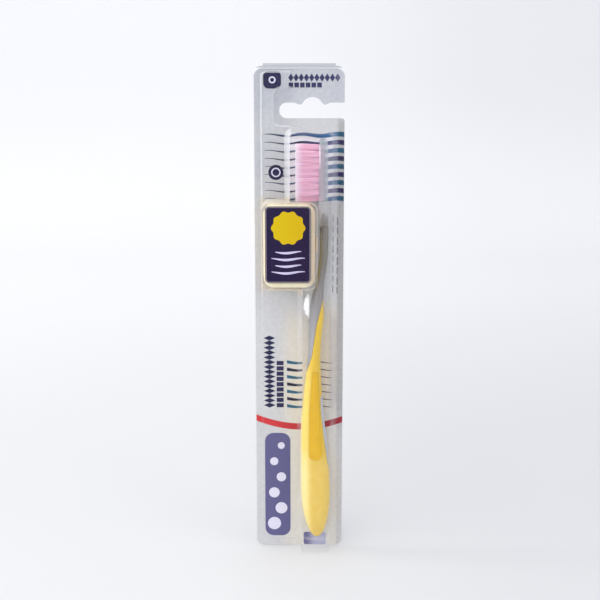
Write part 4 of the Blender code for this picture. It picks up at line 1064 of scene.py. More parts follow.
class Look:
    """A Principled material that is built up node by node."""

    def __init__(self, name, colour, roughness, **sockets):
        self.material = bpy.data.materials.new(name)
        self.material.use_nodes = True
        self.tree = self.material.node_tree
        self.shader = self.tree.nodes["Principled BSDF"]
        self.shader.inputs["Base Color"].default_value = colour
        self.shader.inputs["Roughness"].default_value = roughness
        for socket, value in sockets.items():
            self.shader.inputs[socket.replace("_", " ")].default_value = value
        self.place = self.node("ShaderNodeTexCoord").outputs["Object"]

    def feed(self, socket, value):
        """Links an output to a node's input, or sets the input to a plain value."""
        if isinstance(value, bpy.types.NodeSocket):
            self.tree.links.new(value, socket)
        else:
            socket.default_value = value

    def node(self, kind, settings=None, **inputs):
        """A new node with its settings, and its inputs set or linked."""
        node = self.tree.nodes.new(kind)
        for name, value in (settings or {}).items():
            setattr(node, name, value)
        for name, value in inputs.items():
            self.feed(node.inputs[name.replace("_", " ")], value)
        return node

    def wire(self, output, socket):
        """Links an output to one of the shader's sockets."""
        self.tree.links.new(output, self.shader.inputs[socket])

    def noise(self, scale, detail=2.0):
        """Noise over the piece's own coordinates, of a scale in features per metre."""
        return self.node("ShaderNodeTexNoise", Vector=self.place, Scale=scale, Detail=detail).outputs["Fac"]

    def spread(self, value, low, high, from_low=0.3, from_high=0.7):
        """A value stretched from one range to another; noise lies mostly within 0.3 to 0.7."""
        inputs = {"From_Min": from_low, "From_Max": from_high, "To_Min": low, "To_Max": high}
        return self.node("ShaderNodeMapRange", Value=value, **inputs).outputs["Result"]

    def cloud(self, scale, detail=2.0):
        """0 to 1 in soft patches."""
        return self.spread(self.noise(scale, detail), 0.0, 1.0)

    def between(self, share, low, high):
        """A number between two numbers, by a share of 0 to 1."""
        return self.spread(share, low, high, 0.0, 1.0)

    def part(self, axis):
        """One of the piece's own coordinates."""
        return self.node("ShaderNodeSeparateXYZ", Vector=self.place).outputs[axis]

    def zone(self, ramps):
        """0 to 1 by the ramps of a zone, multiplied."""
        shares = []
        for axis, start, end in ramps:
            inputs = {"Value": self.part(axis), "From_Min": start, "From_Max": end}
            step = self.node("ShaderNodeMapRange", {"interpolation_type": "SMOOTHSTEP"}, **inputs)
            shares.append(step.outputs["Result"])
        return self.product(*shares)

    def sum(self, operation, *values):
        """The result of a sum on values and outputs."""
        node = self.node("ShaderNodeMath", {"operation": operation})
        for socket, value in zip(node.inputs, values):
            self.feed(socket, value)
        return node.outputs["Value"]

    def chain(self, operation, first, *others):
        """One sum run through several values."""
        for value in others:
            first = self.sum(operation, first, value)
        return first

    def product(self, *values):
        """Values multiplied."""
        return self.chain("MULTIPLY", *values)

    def largest(self, *values):
        """The largest of several values."""
        return self.chain("MAXIMUM", *values)

    def blend(self, share, first, second):
        """A colour between two colours."""
        mix = self.node("ShaderNodeMix", {"data_type": "RGBA"}, Factor=share)
        self.feed(mix.inputs[6], first)
        self.feed(mix.inputs[7], second)
        return mix.outputs[2]

    def facing(self):
        """0 where the surface is seen face on, 1 where it is seen edge on."""
        return self.node("ShaderNodeLayerWeight", Blend=0.5).outputs["Facing"]

    def bump(self, height, strength, distance):
        """Relief from a height, on the shader."""
        inputs = {"Height": height, "Strength": strength, "Distance": distance}
        self.wire(self.node("ShaderNodeBump", **inputs).outputs["Normal"], "Normal")

    def grain(self, scale, rough, strength, distance):
        """Fine grain in the roughness, between two values, and in the relief."""
        noise = self.noise(scale, 4.0)
        self.wire(self.spread(noise, *rough), "Roughness")
        self.bump(noise, strength, distance)


def painted_glare(look):
    """0 to 1 in the painted glare, a white highlight at the lower right corner of the cap's bay."""
    rise = look.sum("DIVIDE", look.sum("SUBTRACT", look.part("Z"), GLARE_MIDDLE[1]), GLARE_REACH[1])
    bow = look.product(rise, rise, GLARE_BOW)
    aside = look.sum("SUBTRACT", look.sum("SUBTRACT", look.part("X"), GLARE_MIDDLE[0]), bow)
    aside = look.sum("DIVIDE", aside, GLARE_REACH[0])
    away = look.sum("ADD", look.product(aside, aside), look.product(rise, rise))
    away = look.sum("ADD", away, look.spread(look.noise(700.0), -GLARE_RAGGED, GLARE_RAGGED))
    mark = look.spread(away, GLARE_ALPHA, 0.0, *GLARE_FADE)
    return look.product(mark, look.zone(GLARE_FRONT))


def sheet_look(name, colour, face_alpha, edge_alphas, steepness, rough, ripple):
    """Clear sheet: nearly open where it is seen face on, and pale and glossy where it is seen edge on.

    The two edge alphas are those of the deep bays' left and upper walls, where white is painted on as
    a highlight in thin lines, and of the rest of the sheet.
    """
    look = Look(name, colour, rough, IOR=1.5)
    highlight_alpha, plain_alpha = edge_alphas
    round_cap = look.zone(ROUND_CAP)
    from_middle = look.sum("SUBTRACT", look.part("Y"), FLANGE_Y - BRUSH_BAY_DEPTH / 2)
    lines = look.spread(look.sum("ABSOLUTE", from_middle), *WALL_HIGHLIGHTS, *WALL_LINES)
    roll = look.zone(BAY_ROLL)
    corners = look.largest(look.zone(ROLL_LEFT), look.product(look.zone(ROLL_RIGHT), ROLL_RIGHT_SHARE))
    # Painted highlights on the bays' walls, and the cap's painted cream reflection round its bay
    highlit = look.largest(
        look.product(round_cap, ROUND_CAP_REFLECTION),
        look.product(look.zone(LEFT_OF_TIPS), lines),
        look.product(roll, corners, ROLL_HIGHLIGHT),
    )
    plain = look.between(look.zone(UPPER_PACK), plain_alpha * LOWER_PACK_SHARE, plain_alpha)
    open_roll = look.product(roll, look.sum("SUBTRACT", 1.0, corners))
    reach = look.between(highlit, plain, highlight_alpha - face_alpha)
    reach = look.product(reach, look.between(open_roll, 1.0, OPEN_ROLL_SHARE))
    alpha = look.sum("MULTIPLY_ADD", look.sum("POWER", look.facing(), steepness), reach, face_alpha)

    # Painted light: a pale veil over the shaded strips beside the head and before the tips
    beside_head = look.product(look.zone(BESIDE_HEAD), BESIDE_HEAD_LIGHT)
    before_tips = look.product(look.zone(BEFORE_TIPS), BEFORE_TIPS_LIGHT)
    painted_lift = look.product(look.sum("ADD", beside_head, before_tips), look.zone(BAY_FRONT))
    fold = look.zone(FOLD_EDGE)
    # Painted glare below the cap's bay: white and nearly opaque
    glare = painted_glare(look)
    look.wire(look.largest(alpha, look.product(fold, FOLD_HAZE), glare, painted_lift), "Alpha")

    # The cap's cream painted on the walls of its bay, as a painted reflection
    tint = look.blend(round_cap, colour, tone(248, 236, 216))
    tint = look.blend(glare, tint, tone(252, 252, 254))
    look.wire(look.blend(fold, tint, tone(188, 190, 197)), "Base Color")
    look.wire(look.spread(look.noise(900.0, 3.0), rough * 0.6, rough * 1.6), "Roughness")
    look.bump(look.noise(110.0), ripple, 0.2 * MM)
    return look.material


def film_look():
    """Translucent film: grey above; warm below and paler behind the bristles, both painted light."""
    film = Look("film_tint", tone(206, 208, 212), 0.28, Alpha=0.82)
    cloud = film.cloud(45.0, 3.0)
    upper = film.blend(cloud, tone(204, 206, 211), tone(211, 212, 214))
    upper = film.blend(film.zone(FILM_TOP), upper, tone(196, 199, 207))
    lower = film.blend(cloud, tone(208, 209, 213), tone(215, 215, 218))
    pale = film.blend(film.zone(FILM_LOWER), upper, lower)
    # Painted warm light from the yellow handle, darker to the handle's right
    warm_left = film.blend(cloud, tone(227, 220, 207), tone(232, 224, 210))
    warm_right = film.blend(cloud, tone(218, 210, 197), tone(224, 214, 200))
    warm = film.blend(film.zone(FILM_WARM_RIGHT), warm_left, warm_right)
    warm = film.blend(film.zone(FILM_WARM_BOTTOM), warm, tone(226, 223, 217))
    warm = film.blend(film.zone(FILM_WARM_LEFT), pale, warm)
    tint = film.blend(film.zone(FILM_WARM), pale, warm)
    # Painted light on the film behind the bristles, where they and the bay's wall cast shade
    tint = film.blend(film.zone(FILM_LIT_BEHIND_TUFTS), tint, tone(248, 245, 252))
    # Painted shade beside the neck and beside the handle
    tint = film.blend(film.zone(FILM_SHADED_BESIDE_NECK), tint, tone(196, 196, 199))
    tint = film.blend(film.zone(FILM_SHADED_BESIDE_HANDLE), tint, tone(199, 193, 188))
    # Painted shade along the right edge, lighter at the top and the bottom
    edge = film.blend(film.zone(FILM_SHADED_EDGE_TOP), tone(178, 177, 178), tone(196, 199, 208))
    edge = film.blend(film.zone(FILM_SHADED_EDGE_BOTTOM), edge, tone(206, 204, 205))
    film.wire(film.blend(film.zone(FILM_SHADED_EDGE), tint, edge), "Base Color")
    film.wire(film.spread(film.noise(700.0), 0.2, 0.36), "Roughness")
    return film.material


def silver_look():
    """Pearly plastic of the core, darker and warmer towards the head."""
    silver = Look("silver_pearl", tone(150, 149, 154), 0.34, Metallic=0.35, IOR=1.5)
    flake = silver.cloud(9000.0)
    lower = silver.blend(flake, tone(160, 159, 167), tone(176, 175, 181))
    lower = silver.blend(silver.zone(CORE_BOTTOM), lower, tone(190, 196, 206))
    upper = silver.blend(flake, tone(118, 113, 108), tone(132, 128, 121))
    silver.wire(silver.blend(silver.zone(CORE_UPPER), lower, upper), "Base Color")
    silver.grain(5200.0, rough=(0.28, 0.42), strength=0.12, distance=0.03 * MM)
    return silver.material


def head_look():
    """Smoky clear head, with its flared neck, the core's tongue in it, a painted glint near its tip and
    painted light on its right side.
    """
    head = Look("smoky_head", tone(156, 164, 170), 0.12, IOR=1.49)
    flare = head.zone(HEAD_FLARED)
    right = head.zone(HEAD_LIT_RIGHT)
    tongue = head.zone(HEAD_TONGUE)
    glint = head.zone(HEAD_GLINT)
    alpha = head.product(
        head.between(head.facing(), *HEAD_ALPHAS),
        head.between(flare, 1.0, HEAD_FLARED_SHARE),
        head.between(right, 1.0, HEAD_LIT_RIGHT_SHARE),
    )
    inner = head.largest(head.product(tongue, HEAD_TONGUE_ALPHA), head.product(glint, HEAD_GLINT_ALPHA))
    head.wire(head.largest(alpha, inner), "Alpha")
    # Painted light on the head's right side
    tint = head.blend(right, tone(162, 174, 181), tone(226, 233, 238))
    tint = head.blend(glint, tint, tone(238, 234, 243))
    tint = head.blend(flare, tint, tone(222, 223, 225))
    head.wire(head.blend(tongue, tint, tone(142, 137, 131)), "Base Color")
    head.grain(600.0, rough=(0.08, 0.18), strength=0.15, distance=0.05 * MM)
    return head.material


def grip_look():
    """Soft yellow grip, paler at its lower part, and paler at its left side from painted light."""
    grip = Look("yellow_grip", tone(238, 205, 92), 0.45, IOR=1.45, Sheen_Weight=0.08)
    lower = grip.zone(GRIP_LOWER)
    cloud = grip.cloud(260.0, 3.0)
    strong = grip.blend(cloud, tone(226, 190, 54), tone(220, 180, 42))
    soft = grip.blend(cloud, tone(230, 198, 96), tone(225, 189, 80))
    # Painted light: paler copies of the yellows for the grip's lit left side
    strong_lit = grip.blend(cloud, tone(242, 218, 118), tone(238, 210, 100))
    soft_lit = grip.blend(cloud, tone(244, 228, 156), tone(240, 220, 140))
    right = grip.blend(lower, strong, soft)
    left = grip.blend(lower, strong_lit, soft_lit)
    grip.wire(grip.blend(grip.zone(GRIP_LIT_LEFT), right, left), "Base Color")
    grip.grain(5200.0, rough=(0.38, 0.54), strength=0.22, distance=0.04 * MM)
    return grip.material


def strip_look():
    """Soft olive strip of the neck, greyer towards the head."""
    strip = Look("olive_strip", tone(196, 178, 110), 0.5, IOR=1.45)
    tint = strip.blend(strip.zone(STRIP_UPPER), tone(160, 150, 108), tone(146, 140, 116))
    strip.wire(tint, "Base Color")
    strip.grain(4200.0, rough=(0.42, 0.58), strength=0.25, distance=0.04 * MM)
    return strip.material


def pad_look():
    """Golden side pad with fine dimples."""
    pad = Look("golden_pad", tone(232, 186, 52), 0.5, Specular_IOR_Level=0.25)
    pad.wire(pad.blend(pad.cloud(320.0, 3.0), tone(226, 180, 22), tone(218, 170, 16)), "Base Color")
    dimple = pad.node("ShaderNodeTexVoronoi", Vector=pad.place, Scale=1500.0).outputs["Distance"]
    pad.wire(pad.spread(dimple, 0.62, 0.42, 0.0, 0.6), "Roughness")
    pad.bump(dimple, 0.35, 0.08 * MM)
    return pad.material


def strand_look():
    """Pink strands that grow paler towards their tips, with a painted glow in place of light through them."""
    strand = Look(
        "pink_strands",
        tone(232, 160, 198),
        0.38,
        IOR=1.52,
        Sheen_Weight=0.6,
        Sheen_Roughness=0.5,
        Sheen_Tint=tone(255, 226, 238),
        # Painted glow: the strands give off a little light of their own
        Emission_Color=tone(236, 228, 246),
        Emission_Strength=STRAND_PAINTED_GLOW,
        Subsurface_Weight=0.35,
        Subsurface_Scale=0.8 * MM,
    )
    streak = strand.cloud(2600.0)
    pale = strand.blend(streak, tone(255, 246, 252), tone(252, 238, 247))
    strong = strand.blend(streak, tone(252, 200, 224), tone(249, 188, 215))
    strand.wire(strand.blend(strand.zone(STRAND_TO_ROOT), pale, strong), "Base Color")
    strand.wire(strand.spread(strand.noise(1800.0), 0.28, 0.5), "Roughness")
    return strand.material


def cream_look():
    """Glossy cream moulding of the cap, darker on its right side."""
    subsurface = {"Subsurface_Weight": 0.12, "Subsurface_Scale": 1.2 * MM}
    cream = Look("cream_moulding", tone(238, 226, 192), 0.3, IOR=1.49, **subsurface)
    cloud = cream.cloud(160.0, 3.0)
    lighter_left = cream.blend(cloud, tone(253, 245, 218), tone(249, 239, 208))
    darker_right = cream.blend(cloud, tone(219, 200, 176), tone(213, 193, 169))
    cream.wire(cream.blend(cream.zone(CAP_RIGHT_SIDE), lighter_left, darker_right), "Base Color")
    cream.grain(2600.0, rough=(0.24, 0.36), strength=0.12, distance=0.03 * MM)
    return cream.material


def foil_look():
    """Grey foil of the label's rim."""
    foil = Look("grey_foil", tone(128, 122, 124), 0.3, Metallic=0.6)
    foil.grain(3000.0, rough=(0.22, 0.4), strength=0.1, distance=0.02 * MM)
    return foil.material


def ink_look(name, stops):
    """Printed ink whose colour changes from left to right through stops of (x, colour)."""
    colour = tone(*stops[0][1])
    look = Look(name, colour, 0.4, Specular_IOR_Level=0.12)
    for (start, _), (end, following) in zip(stops, stops[1:]):
        colour = look.blend(look.zone((("X", start, end),)), colour, tone(*following))
    mottle = look.spread(look.noise(2500.0, 3.0), 0.0, INK_MOTTLE)
    look.wire(look.blend(mottle, colour, tone(215, 218, 228)), "Base Color")
    look.wire(look.spread(look.noise(1400.0), 0.34, 0.5), "Roughness")
    return look.material


def floor_look():
    """Pale floor and backdrop, with painted shade near the front, up the backdrop and on the right; seen at
    full strength.
    """
    glow = {"Emission_Color": tone(250, 251, 255)}
    floor = Look("pale_floor", tone(240, 241, 244), 0.6, Specular_IOR_Level=0.2, **glow)
    floor.wire(floor.spread(floor.noise(6.0), 0.55, 0.7), "Roughness")
    # Painted shade: darker on the right, near the front and up the backdrop
    right = floor.zone(FLOOR_SHADE_RIGHT)
    near = floor.blend(floor.zone(FLOOR_SHADE_RIGHT_NEAR), tone(222, 223, 225), tone(214, 215, 218))
    far = floor.blend(right, tone(250, 250, 252), tone(244, 244, 247))
    raised = floor.blend(right, tone(241, 241, 245), tone(231, 232, 236))
    level = floor.blend(floor.zone(FLOOR_FAR), near, far)
    floor.wire(floor.blend(floor.zone(FLOOR_RAISED), level, raised), "Base Color")
    rays = floor.node("ShaderNodeLightPath").outputs
    seen = floor.largest(*(rays[f"Is {kind} Ray"] for kind in ("Camera", "Glossy", "Transmission")))
    floor.wire(floor.between(seen, 0.0, FLOOR_GLOW), "Emission Strength")
    return floor.material


def make_looks():
    """Every material by name."""
    looks = {name: ink_look(name, stops) for name, stops in INKS.items()}
    looks["clear"] = sheet_look(
        "clear_sheet",
        tone(246, 247, 252),
        face_alpha=0.013,
        edge_alphas=(0.90, 0.27),
        steepness=1.7,
        rough=0.06,
        ripple=0.25,
    )
    looks["cover"] = sheet_look(
        "cover_sheet_clear",
        tone(240, 243, 248),
        face_alpha=0.05,
        edge_alphas=(0.85, 0.85),
        steepness=2.2,
        rough=0.10,
        ripple=0.2,
    )
    looks["film"] = film_look()
    looks["silver"] = silver_look()
    looks["head"] = head_look()
    looks["grip"] = grip_look()
    looks["strip"] = strip_look()
    looks["pad"] = pad_look()
    looks["strand"] = strand_look()
    looks["cream"] = cream_look()
    looks["foil"] = foil_look()
    looks["floor"] = floor_look()
    return looks


def dress(piece, body, slot, look, *nodes):
    """Gives a piece its look and shading, sets it on the body it rides on, and hides the imported nodes that
    it stands for.
    """
    piece.data.name = piece.name
    piece.data.materials.clear()
    piece.data.materials.append(look)
    piece.data.shade_smooth()
    piece.data.set_sharp_from_angle(angle=SMOOTH_ANGLE)
    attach(piece, body)
    if nodes:
        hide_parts(*nodes)


def make_blister(looks):
    """The front sheet with its bays, the fold along its top and the hang slot."""
    blister = plate("blister_shell", sheet_corners(), FLANGE_Y, FLANGE_Y - SHEET)
    combine(blister, "UNION", blister_solid(0.0, -SHEET / 3))
    combine(blister, "DIFFERENCE", blister_solid(SHEET, OVERRUN))
    ends = [(side * FOLD_LENGTH / 2, FOLD_Y, FOLD_Z) for side in (-1, 1)]
    combine(blister, "UNION", rod("fold", *ends, FOLD_RADIUS))
    combine(blister, "DIFFERENCE", slot_cutter())
    dress(blister, "pack", "clear_plastic", looks["clear"], "front_blister")


def make_cover(looks):
    """The flat back sheet and the printed film on it, both with the hang slot."""
    corners = rectangle(-PACK_WIDTH / 2, PACK_WIDTH / 2, COVER_LIFT, COVER_TOP, PACK_CORNER)
    cover = plate("cover_sheet", corners, FLANGE_Y + DEPTH_BEHIND - SHEET, FLANGE_Y + DEPTH_BEHIND)
    combine(cover, "DIFFERENCE", slot_cutter())
    dress(cover, "cover", "clear_plastic", looks["cover"], "back_cover")

    film = plate("film_sheet", corners, FLANGE_Y + GAP, FLANGE_Y + GAP + FILM, GAP)
    combine(film, "DIFFERENCE", slot_cutter())
    dress(film, "cover", "print_film", looks["film"], "printed_film")


def core_bar(grow=0.0):
    """The core's bar inside the grip, grown all round by an amount."""
    inset = GRIP_WALL + GAP - grow
    bottom = BRUSH_LIFT + GRIP_WALL + inset
    return body_loft("core_bar", inset, bottom, BRUSH_LIFT + BAR_TOP_SHARE * HANDLE_LENGTH - inset)


def pad_floor(depth):
    """What of the handle lies deeper than a pad's inside."""
    return body_loft("pad_floor", depth, BRUSH_LIFT + GRIP_WALL, BRUSH_LIFT + HANDLE_LENGTH)


def grip_zone(inset):
    """The grip's outline, seen from the side, as a prism through the whole handle."""
    return brush_prism("grip_zone", GRIP_SHARES, inset, -HANDLE_WIDTH, HANDLE_WIDTH)


def make_core(looks):
    """The hard core: the neck, the bar inside the grip and the tongue in the head."""
    core = full_body("core_body")
    combine(core, "DIFFERENCE", grip_zone(-GAP / 2))
    combine(core, "UNION", core_bar(), tongue_solid())
    combine(core, "DIFFERENCE", inlay_zone("inlay_groove", GAP / 3))
    dress(core, "brush", "silver_core", looks["silver"], "handle_core")


def make_grip(looks):
    """The soft grip round the core's bar, with a pocket for each pad."""
    grip = full_body("grip_skin")
    combine(grip, "INTERSECT", grip_zone(0.0))
    combine(grip, "DIFFERENCE", core_bar(GAP / 2))
    for side in (-1, 1):
        pocket = brush_prism("pad_pocket", PAD_SHARES, -GAP / 3, *flank(side))
        combine(pocket, "DIFFERENCE", pad_floor(PAD_WALL + GAP))
        combine(grip, "DIFFERENCE", pocket)
    dress(grip, "brush", "yellow_grip", looks["grip"], "grip_sleeve")


def make_pads(looks):
    """The golden pads in the grip's two flanks."""
    for place, side in (("front", -1), ("back", 1)):
        pad = brush_prism(f"{place}_pad", PAD_SHARES, 0.0, *flank(side))
        combine(pad, "INTERSECT", full_body("pad_skin"))
        combine(pad, "DIFFERENCE", pad_floor(PAD_WALL))
        dress(pad, "brush", "golden_pad", looks["pad"], f"side_pad_{place}")


def make_strip(looks):
    """The soft strip on the neck's bristle side."""
    strip = full_body("neck_strip")
    combine(strip, "INTERSECT", inlay_zone("inlay_room", 0.0))
    dress(strip, "brush", "yellow_grip", looks["strip"], "neck_inlay")


def make_head(looks):
    """The clear head, with the socket that the core's tongue sits in."""
    head = head_solid("head_plate")
    half_thickness = TONGUE_THICKNESS / 2 + GAP
    half_width = TONGUE_WIDTH / 2 + GAP
    socket_rings = [
        ring(tongue_middle(), height, half_thickness, half_width, 2)
        for height in (TONGUE_Z - OVERRUN, TONGUE_Z + TONGUE_LENGTH + GAP)
    ]
    combine(head, "DIFFERENCE", loft("socket", socket_rings))
    dress(head, "brush", "clear_head", looks["head"], "brush_head")


def strand_points(draw, tuft, index):
    """Points of one of a tuft's strands, ring by ring from inside the head to its tapered tip."""
    angle = index * GOLDEN_ANGLE
    radius = math.sqrt((index + 0.5) / TUFT_STRANDS)
    y = radius * TUFT_REACH_ACROSS * math.cos(angle)
    offset = Vector((y, radius * TUFT_REACH_ALONG * math.sin(angle)))
    stray = Vector((draw.gauss(0, STRAND_STRAY), draw.gauss(0, STRAND_STRAY)))
    squared = 1 / max(abs(math.cos(angle)), abs(math.sin(angle)))
    move = offset * (squared * (1 + STRAND_SPREAD_SHARE) - 1) + stray
    length = BRISTLE_LENGTH - draw.random() * STRAND_SHORT
    points = []
    for along, thick in STRAND_STATION_SHARES:
        middle = Vector(tuft) + offset + move * (1 - (1 - along) ** STRAND_BEND)
        depth = HEAD_FACE_X + STRAND_ROOT - along * (length + STRAND_ROOT)
        for side in range(STRAND_SIDES):
            turn = angle + 2 * math.pi * side / STRAND_SIDES
            y = middle.x + FINE_STRAND * thick * math.cos(turn)
            z = middle.y + FINE_STRAND * thick * math.sin(turn)
            points.append((depth, y, z))
    return points


def strand_faces(start):
    """Faces of a strand whose points start at an index: its sides, ring by ring, and its two ends."""
    faces = []
    sides = range(STRAND_SIDES)
    last = start + (len(STRAND_STATION_SHARES) - 1) * STRAND_SIDES
    for low in range(start, last, STRAND_SIDES):
        high = low + STRAND_SIDES
        for side in sides:
            following = (side + 1) % STRAND_SIDES
            faces.append((low + side, low + following, high + following, high + side))
    faces.append(tuple(start + side for side in reversed(sides)))
    faces.append(tuple(last + side for side in sides))
    return faces


def make_tufts(looks):
    """Every tuft as many fine strands."""
    draw = random.Random(STRAND_SEED)
    points = []
    faces = []
    for tuft in tuft_places():
        for index in range(TUFT_STRANDS):
            faces += strand_faces(len(points))
            points += strand_points(draw, tuft, index)
    mesh = bpy.data.meshes.new("bristle_tufts")
    mesh.from_pydata(points, [], faces)
    mesh.flip_normals()
    dress(add_object(mesh.name, mesh), "brush", "bristle", looks["strand"], "bristles")


def make_tray(looks):
    """The travel cap's deep front half, with its vents and the bead that the lid folds about."""
    tray = cap_shell("cap_tray", CAP_BACK_Y - CAP_THICKNESS - OVERRUN, CAP_SPLIT_Y - GAP / 2)
    combine(tray, "UNION", cap_bead("bead", CAP_BEAD_RADIUS, 0.0))
    middle = (CAP_LEFT + CAP_RIGHT) / 2
    front = CAP_BACK_Y - CAP_THICKNESS + CAP_EDGE
    for index in range(VENT_COUNT):
        across = middle + (index - (VENT_COUNT - 1) / 2) * VENT_PITCH
        low = (across - VENT_WIDTH / 2, front, CAP_TOP - CAP_WALL - OVERRUN)
        high = (across + VENT_WIDTH / 2, front + VENT_LENGTH, CAP_TOP + OVERRUN)
        combine(tray, "DIFFERENCE", block("vent", low, high))
    dress(tray, "cap", "cream_cap", looks["cream"], "cap_base")


def make_door(looks):
    """The travel cap's shallow back half, with its snap tab."""
    door = cap_shell("cap_door", CAP_SPLIT_Y + GAP / 2, CAP_BACK_Y + OVERRUN)
    bottom = (CAP_BOTTOM + CAP_TOP) / 2 - TAB_WIDTH / 2
    top = bottom + TAB_WIDTH
    start = CAP_RIGHT + GAP
    low = (start, CAP_SPLIT_Y - TAB_REACH, bottom)
    high = (start + TAB_THICKNESS, CAP_SPLIT_Y + TAB_REACH, top)
    tab = block("tab", low, high)
    low = (CAP_RIGHT - CAP_WALL / 2, CAP_SPLIT_Y + GAP / 2 + SHEET, bottom + SHEET)
    high = (start + SHEET, CAP_SPLIT_Y + TAB_REACH - SHEET, top - SHEET)
    combine(tab, "UNION", block("tab_root", low, high))
    combine(door, "UNION", tab)
    combine(door, "DIFFERENCE", cap_bead("bead_seat", CAP_BEAD_RADIUS + GAP, OVERRUN))
    dress(door, "lid", "cream_cap", looks["cream"], "cap_lid")


def joined(name, parts):
    """Several pieces' meshes in one object."""
    bm = bmesh.new()
    for part in parts:
        bm.from_mesh(part.data)
        bpy.data.objects.remove(part)
    return add_bmesh(name, bm)


def ribbon(path, front, back):
    """A flat strip along a path of (x, z, width), square to +X."""
    rings = []
    for x, z, width in path:
        low = z - width / 2
        high = z + width / 2
        rings.append([(x, front, low), (x, back, low), (x, back, high), (x, front, high)])
    return loft("ribbon", rings)


def flat_shape(name, points, front, back):
    """A flat piece of any outline in the XZ plane."""
    return loft(name, [[(x, y, z) for x, z in points] for y in (front, back)])


def round_points(middle, radii):
    """Points round a middle at equal turns, each at a radius of its own."""
    points = []
    for step, radius in enumerate(radii):
        turn = 2 * math.pi * step / len(radii)
        points.append((middle[0] + radius * math.cos(turn), middle[1] + radius * math.sin(turn)))
    return points


def disc(middle, radius, front, back):
    """A flat round piece."""
    return flat_shape("disc", round_points(middle, [radius] * DISC_SIDES), front, back)


def tapered(first, last, power=1.0):
    """A wave's width by its share from the left: from a first to a last width."""
    def width_at(share):
        return first + (last - first) * share**power
    return width_at


def swelling(ends, added):
    """A wave's width by its share from the left: thin at both ends."""
    def width_at(share):
        return ends + added * math.sin(math.pi * share)
    return width_at


def wave_path(left, right, height, width_at, crest=WAVE_CREST):
    """A wavy line's path of (x, z, width), with the wave length and height that all prints share."""
    path = []
    for step in range(WAVE_STEPS + 1):
        share = step / WAVE_STEPS
        x = left + (right - left) * share
        z = height + WAVE_HEIGHT * math.cos(2 * math.pi * (x - crest) / WAVE_LENGTH)
        path.append((x, z, width_at(share)))
    return path


def ink_depth(layer=0):
    """Front and back of a layer of ink on the film."""
    back = FLANGE_Y + GAP - layer * INK
    return back - INK, back


def print_on_film(name, look, parts):
    """One colour of print, which moves with the cover that carries the film."""
    dress(joined(name, parts), "cover", "print_film", look)


def make_waves(looks):
    """The tapering waves beside the head."""
    blue = []
    violet = []
    for index in range(WAVE_COUNT):
        height = WAVE_TOP - index * WAVE_PITCH
        width_at = tapered(WAVE_THIN, WAVE_THICK, WAVE_SWELL if index else TOP_WAVE_SWELL)
        wave = ribbon(wave_path(WAVE_LEFT, WAVE_RIGHT, height, width_at), *ink_depth())
        (violet if index % 2 else blue).append(wave)
    print_on_film("waves_blue", looks["blue_ink"], blue)
    print_on_film("waves_violet", looks["violet_ink"], violet)


def make_low_waves(looks):
    """The short waves left and right of the handle."""
    teal = []
    dark = []
    for index in range(LOW_WAVE_COUNT):
        height = LOW_WAVE_TOP - index * LOW_WAVE_PITCH
        for left, right, first, last in (LOW_WAVE_LEFT, LOW_WAVE_RIGHT):
            path = wave_path(left, right, height, tapered(first, last), LOW_WAVE_CREST)
            (dark if index % 2 else teal).append(ribbon(path, *ink_depth()))
    print_on_film("low_waves_teal", looks["teal_ink"], teal)
    print_on_film("low_waves_dark", looks["dark_ink"], dark)


def make_band(looks):
    """The red band below the waves, which bows upwards at both ends."""
    path = []
    for step in range(BAND_STEPS + 1):
        x = BAND_REACH * (2 * step / BAND_STEPS - 1)
        path.append((x, BAND_MIDDLE + BAND_RISE * ((x - BAND_SHIFT) / BAND_REACH) ** 2, BAND_WIDTH))
    print_on_film("red_band", looks["red_ink"], [ribbon(path, *ink_depth())])


def rounded_plate(place):
    """A flat rounded rectangle of print from (left, right, bottom, top, radius)."""
    return plate("patch", rectangle(*place), *ink_depth())


def lozenge_row(start, step, across, count, dash_count):
    """A row of lozenges and a shorter row of dashes beside it, running along step from a start."""
    start, step, across = Vector(start), Vector(step), Vector(across)
    depth = ink_depth()
    parts = []
    along = step * LOZENGE_WIDTH / 2
    side = across * LOZENGE_LENGTH / 2
    for index in range(count):
        middle = start + step * index * LOZENGE_PITCH
        corners = [middle - along, middle - side, middle + along, middle + side]
        parts.append(flat_shape("lozenge", corners, *depth))
    along = step * DASH_WIDTH / 2
    side = across * DASH_HEIGHT / 2
    for index in range(dash_count):
        middle = start + across * ROW_GAP + step * index * DASH_PITCH
        corners = [middle - along - side, middle + along - side, middle + along + side, middle - along + side]
        parts.append(flat_shape("dash", corners, *depth))
    return parts


def make_panels(looks):
    """The purple panel and base print, and the pale bubbles and rings on the prints."""
    panels = [rounded_plate(PANEL), rounded_plate(BASE_PRINT)]
    print_on_film("purple_panels", looks["purple_ink"], panels)

    left, right, bottom, top, _ = PANEL
    bubbles = []
    for index in range(BUBBLE_COUNT):
        sway = (right - left) * BUBBLE_SWAY_SHARE * (1 if index % 2 else -1)
        height = bottom + (top - bottom) * (index + BUBBLE_START) / BUBBLE_ROWS
        place = ((left + right) / 2 + sway, height)
        bubbles.append(disc(place, BUBBLE_RADIUS - BUBBLE_STEP * index, *ink_depth(1)))
    bubbles.append(disc(BADGE_MIDDLE, BADGE_RING, *ink_depth(1)))
    bubbles.append(disc(ROSETTE, ROSETTE_RING, *ink_depth(1)))
    print_on_film("pale_bubbles", looks["pale_ink"], bubbles)


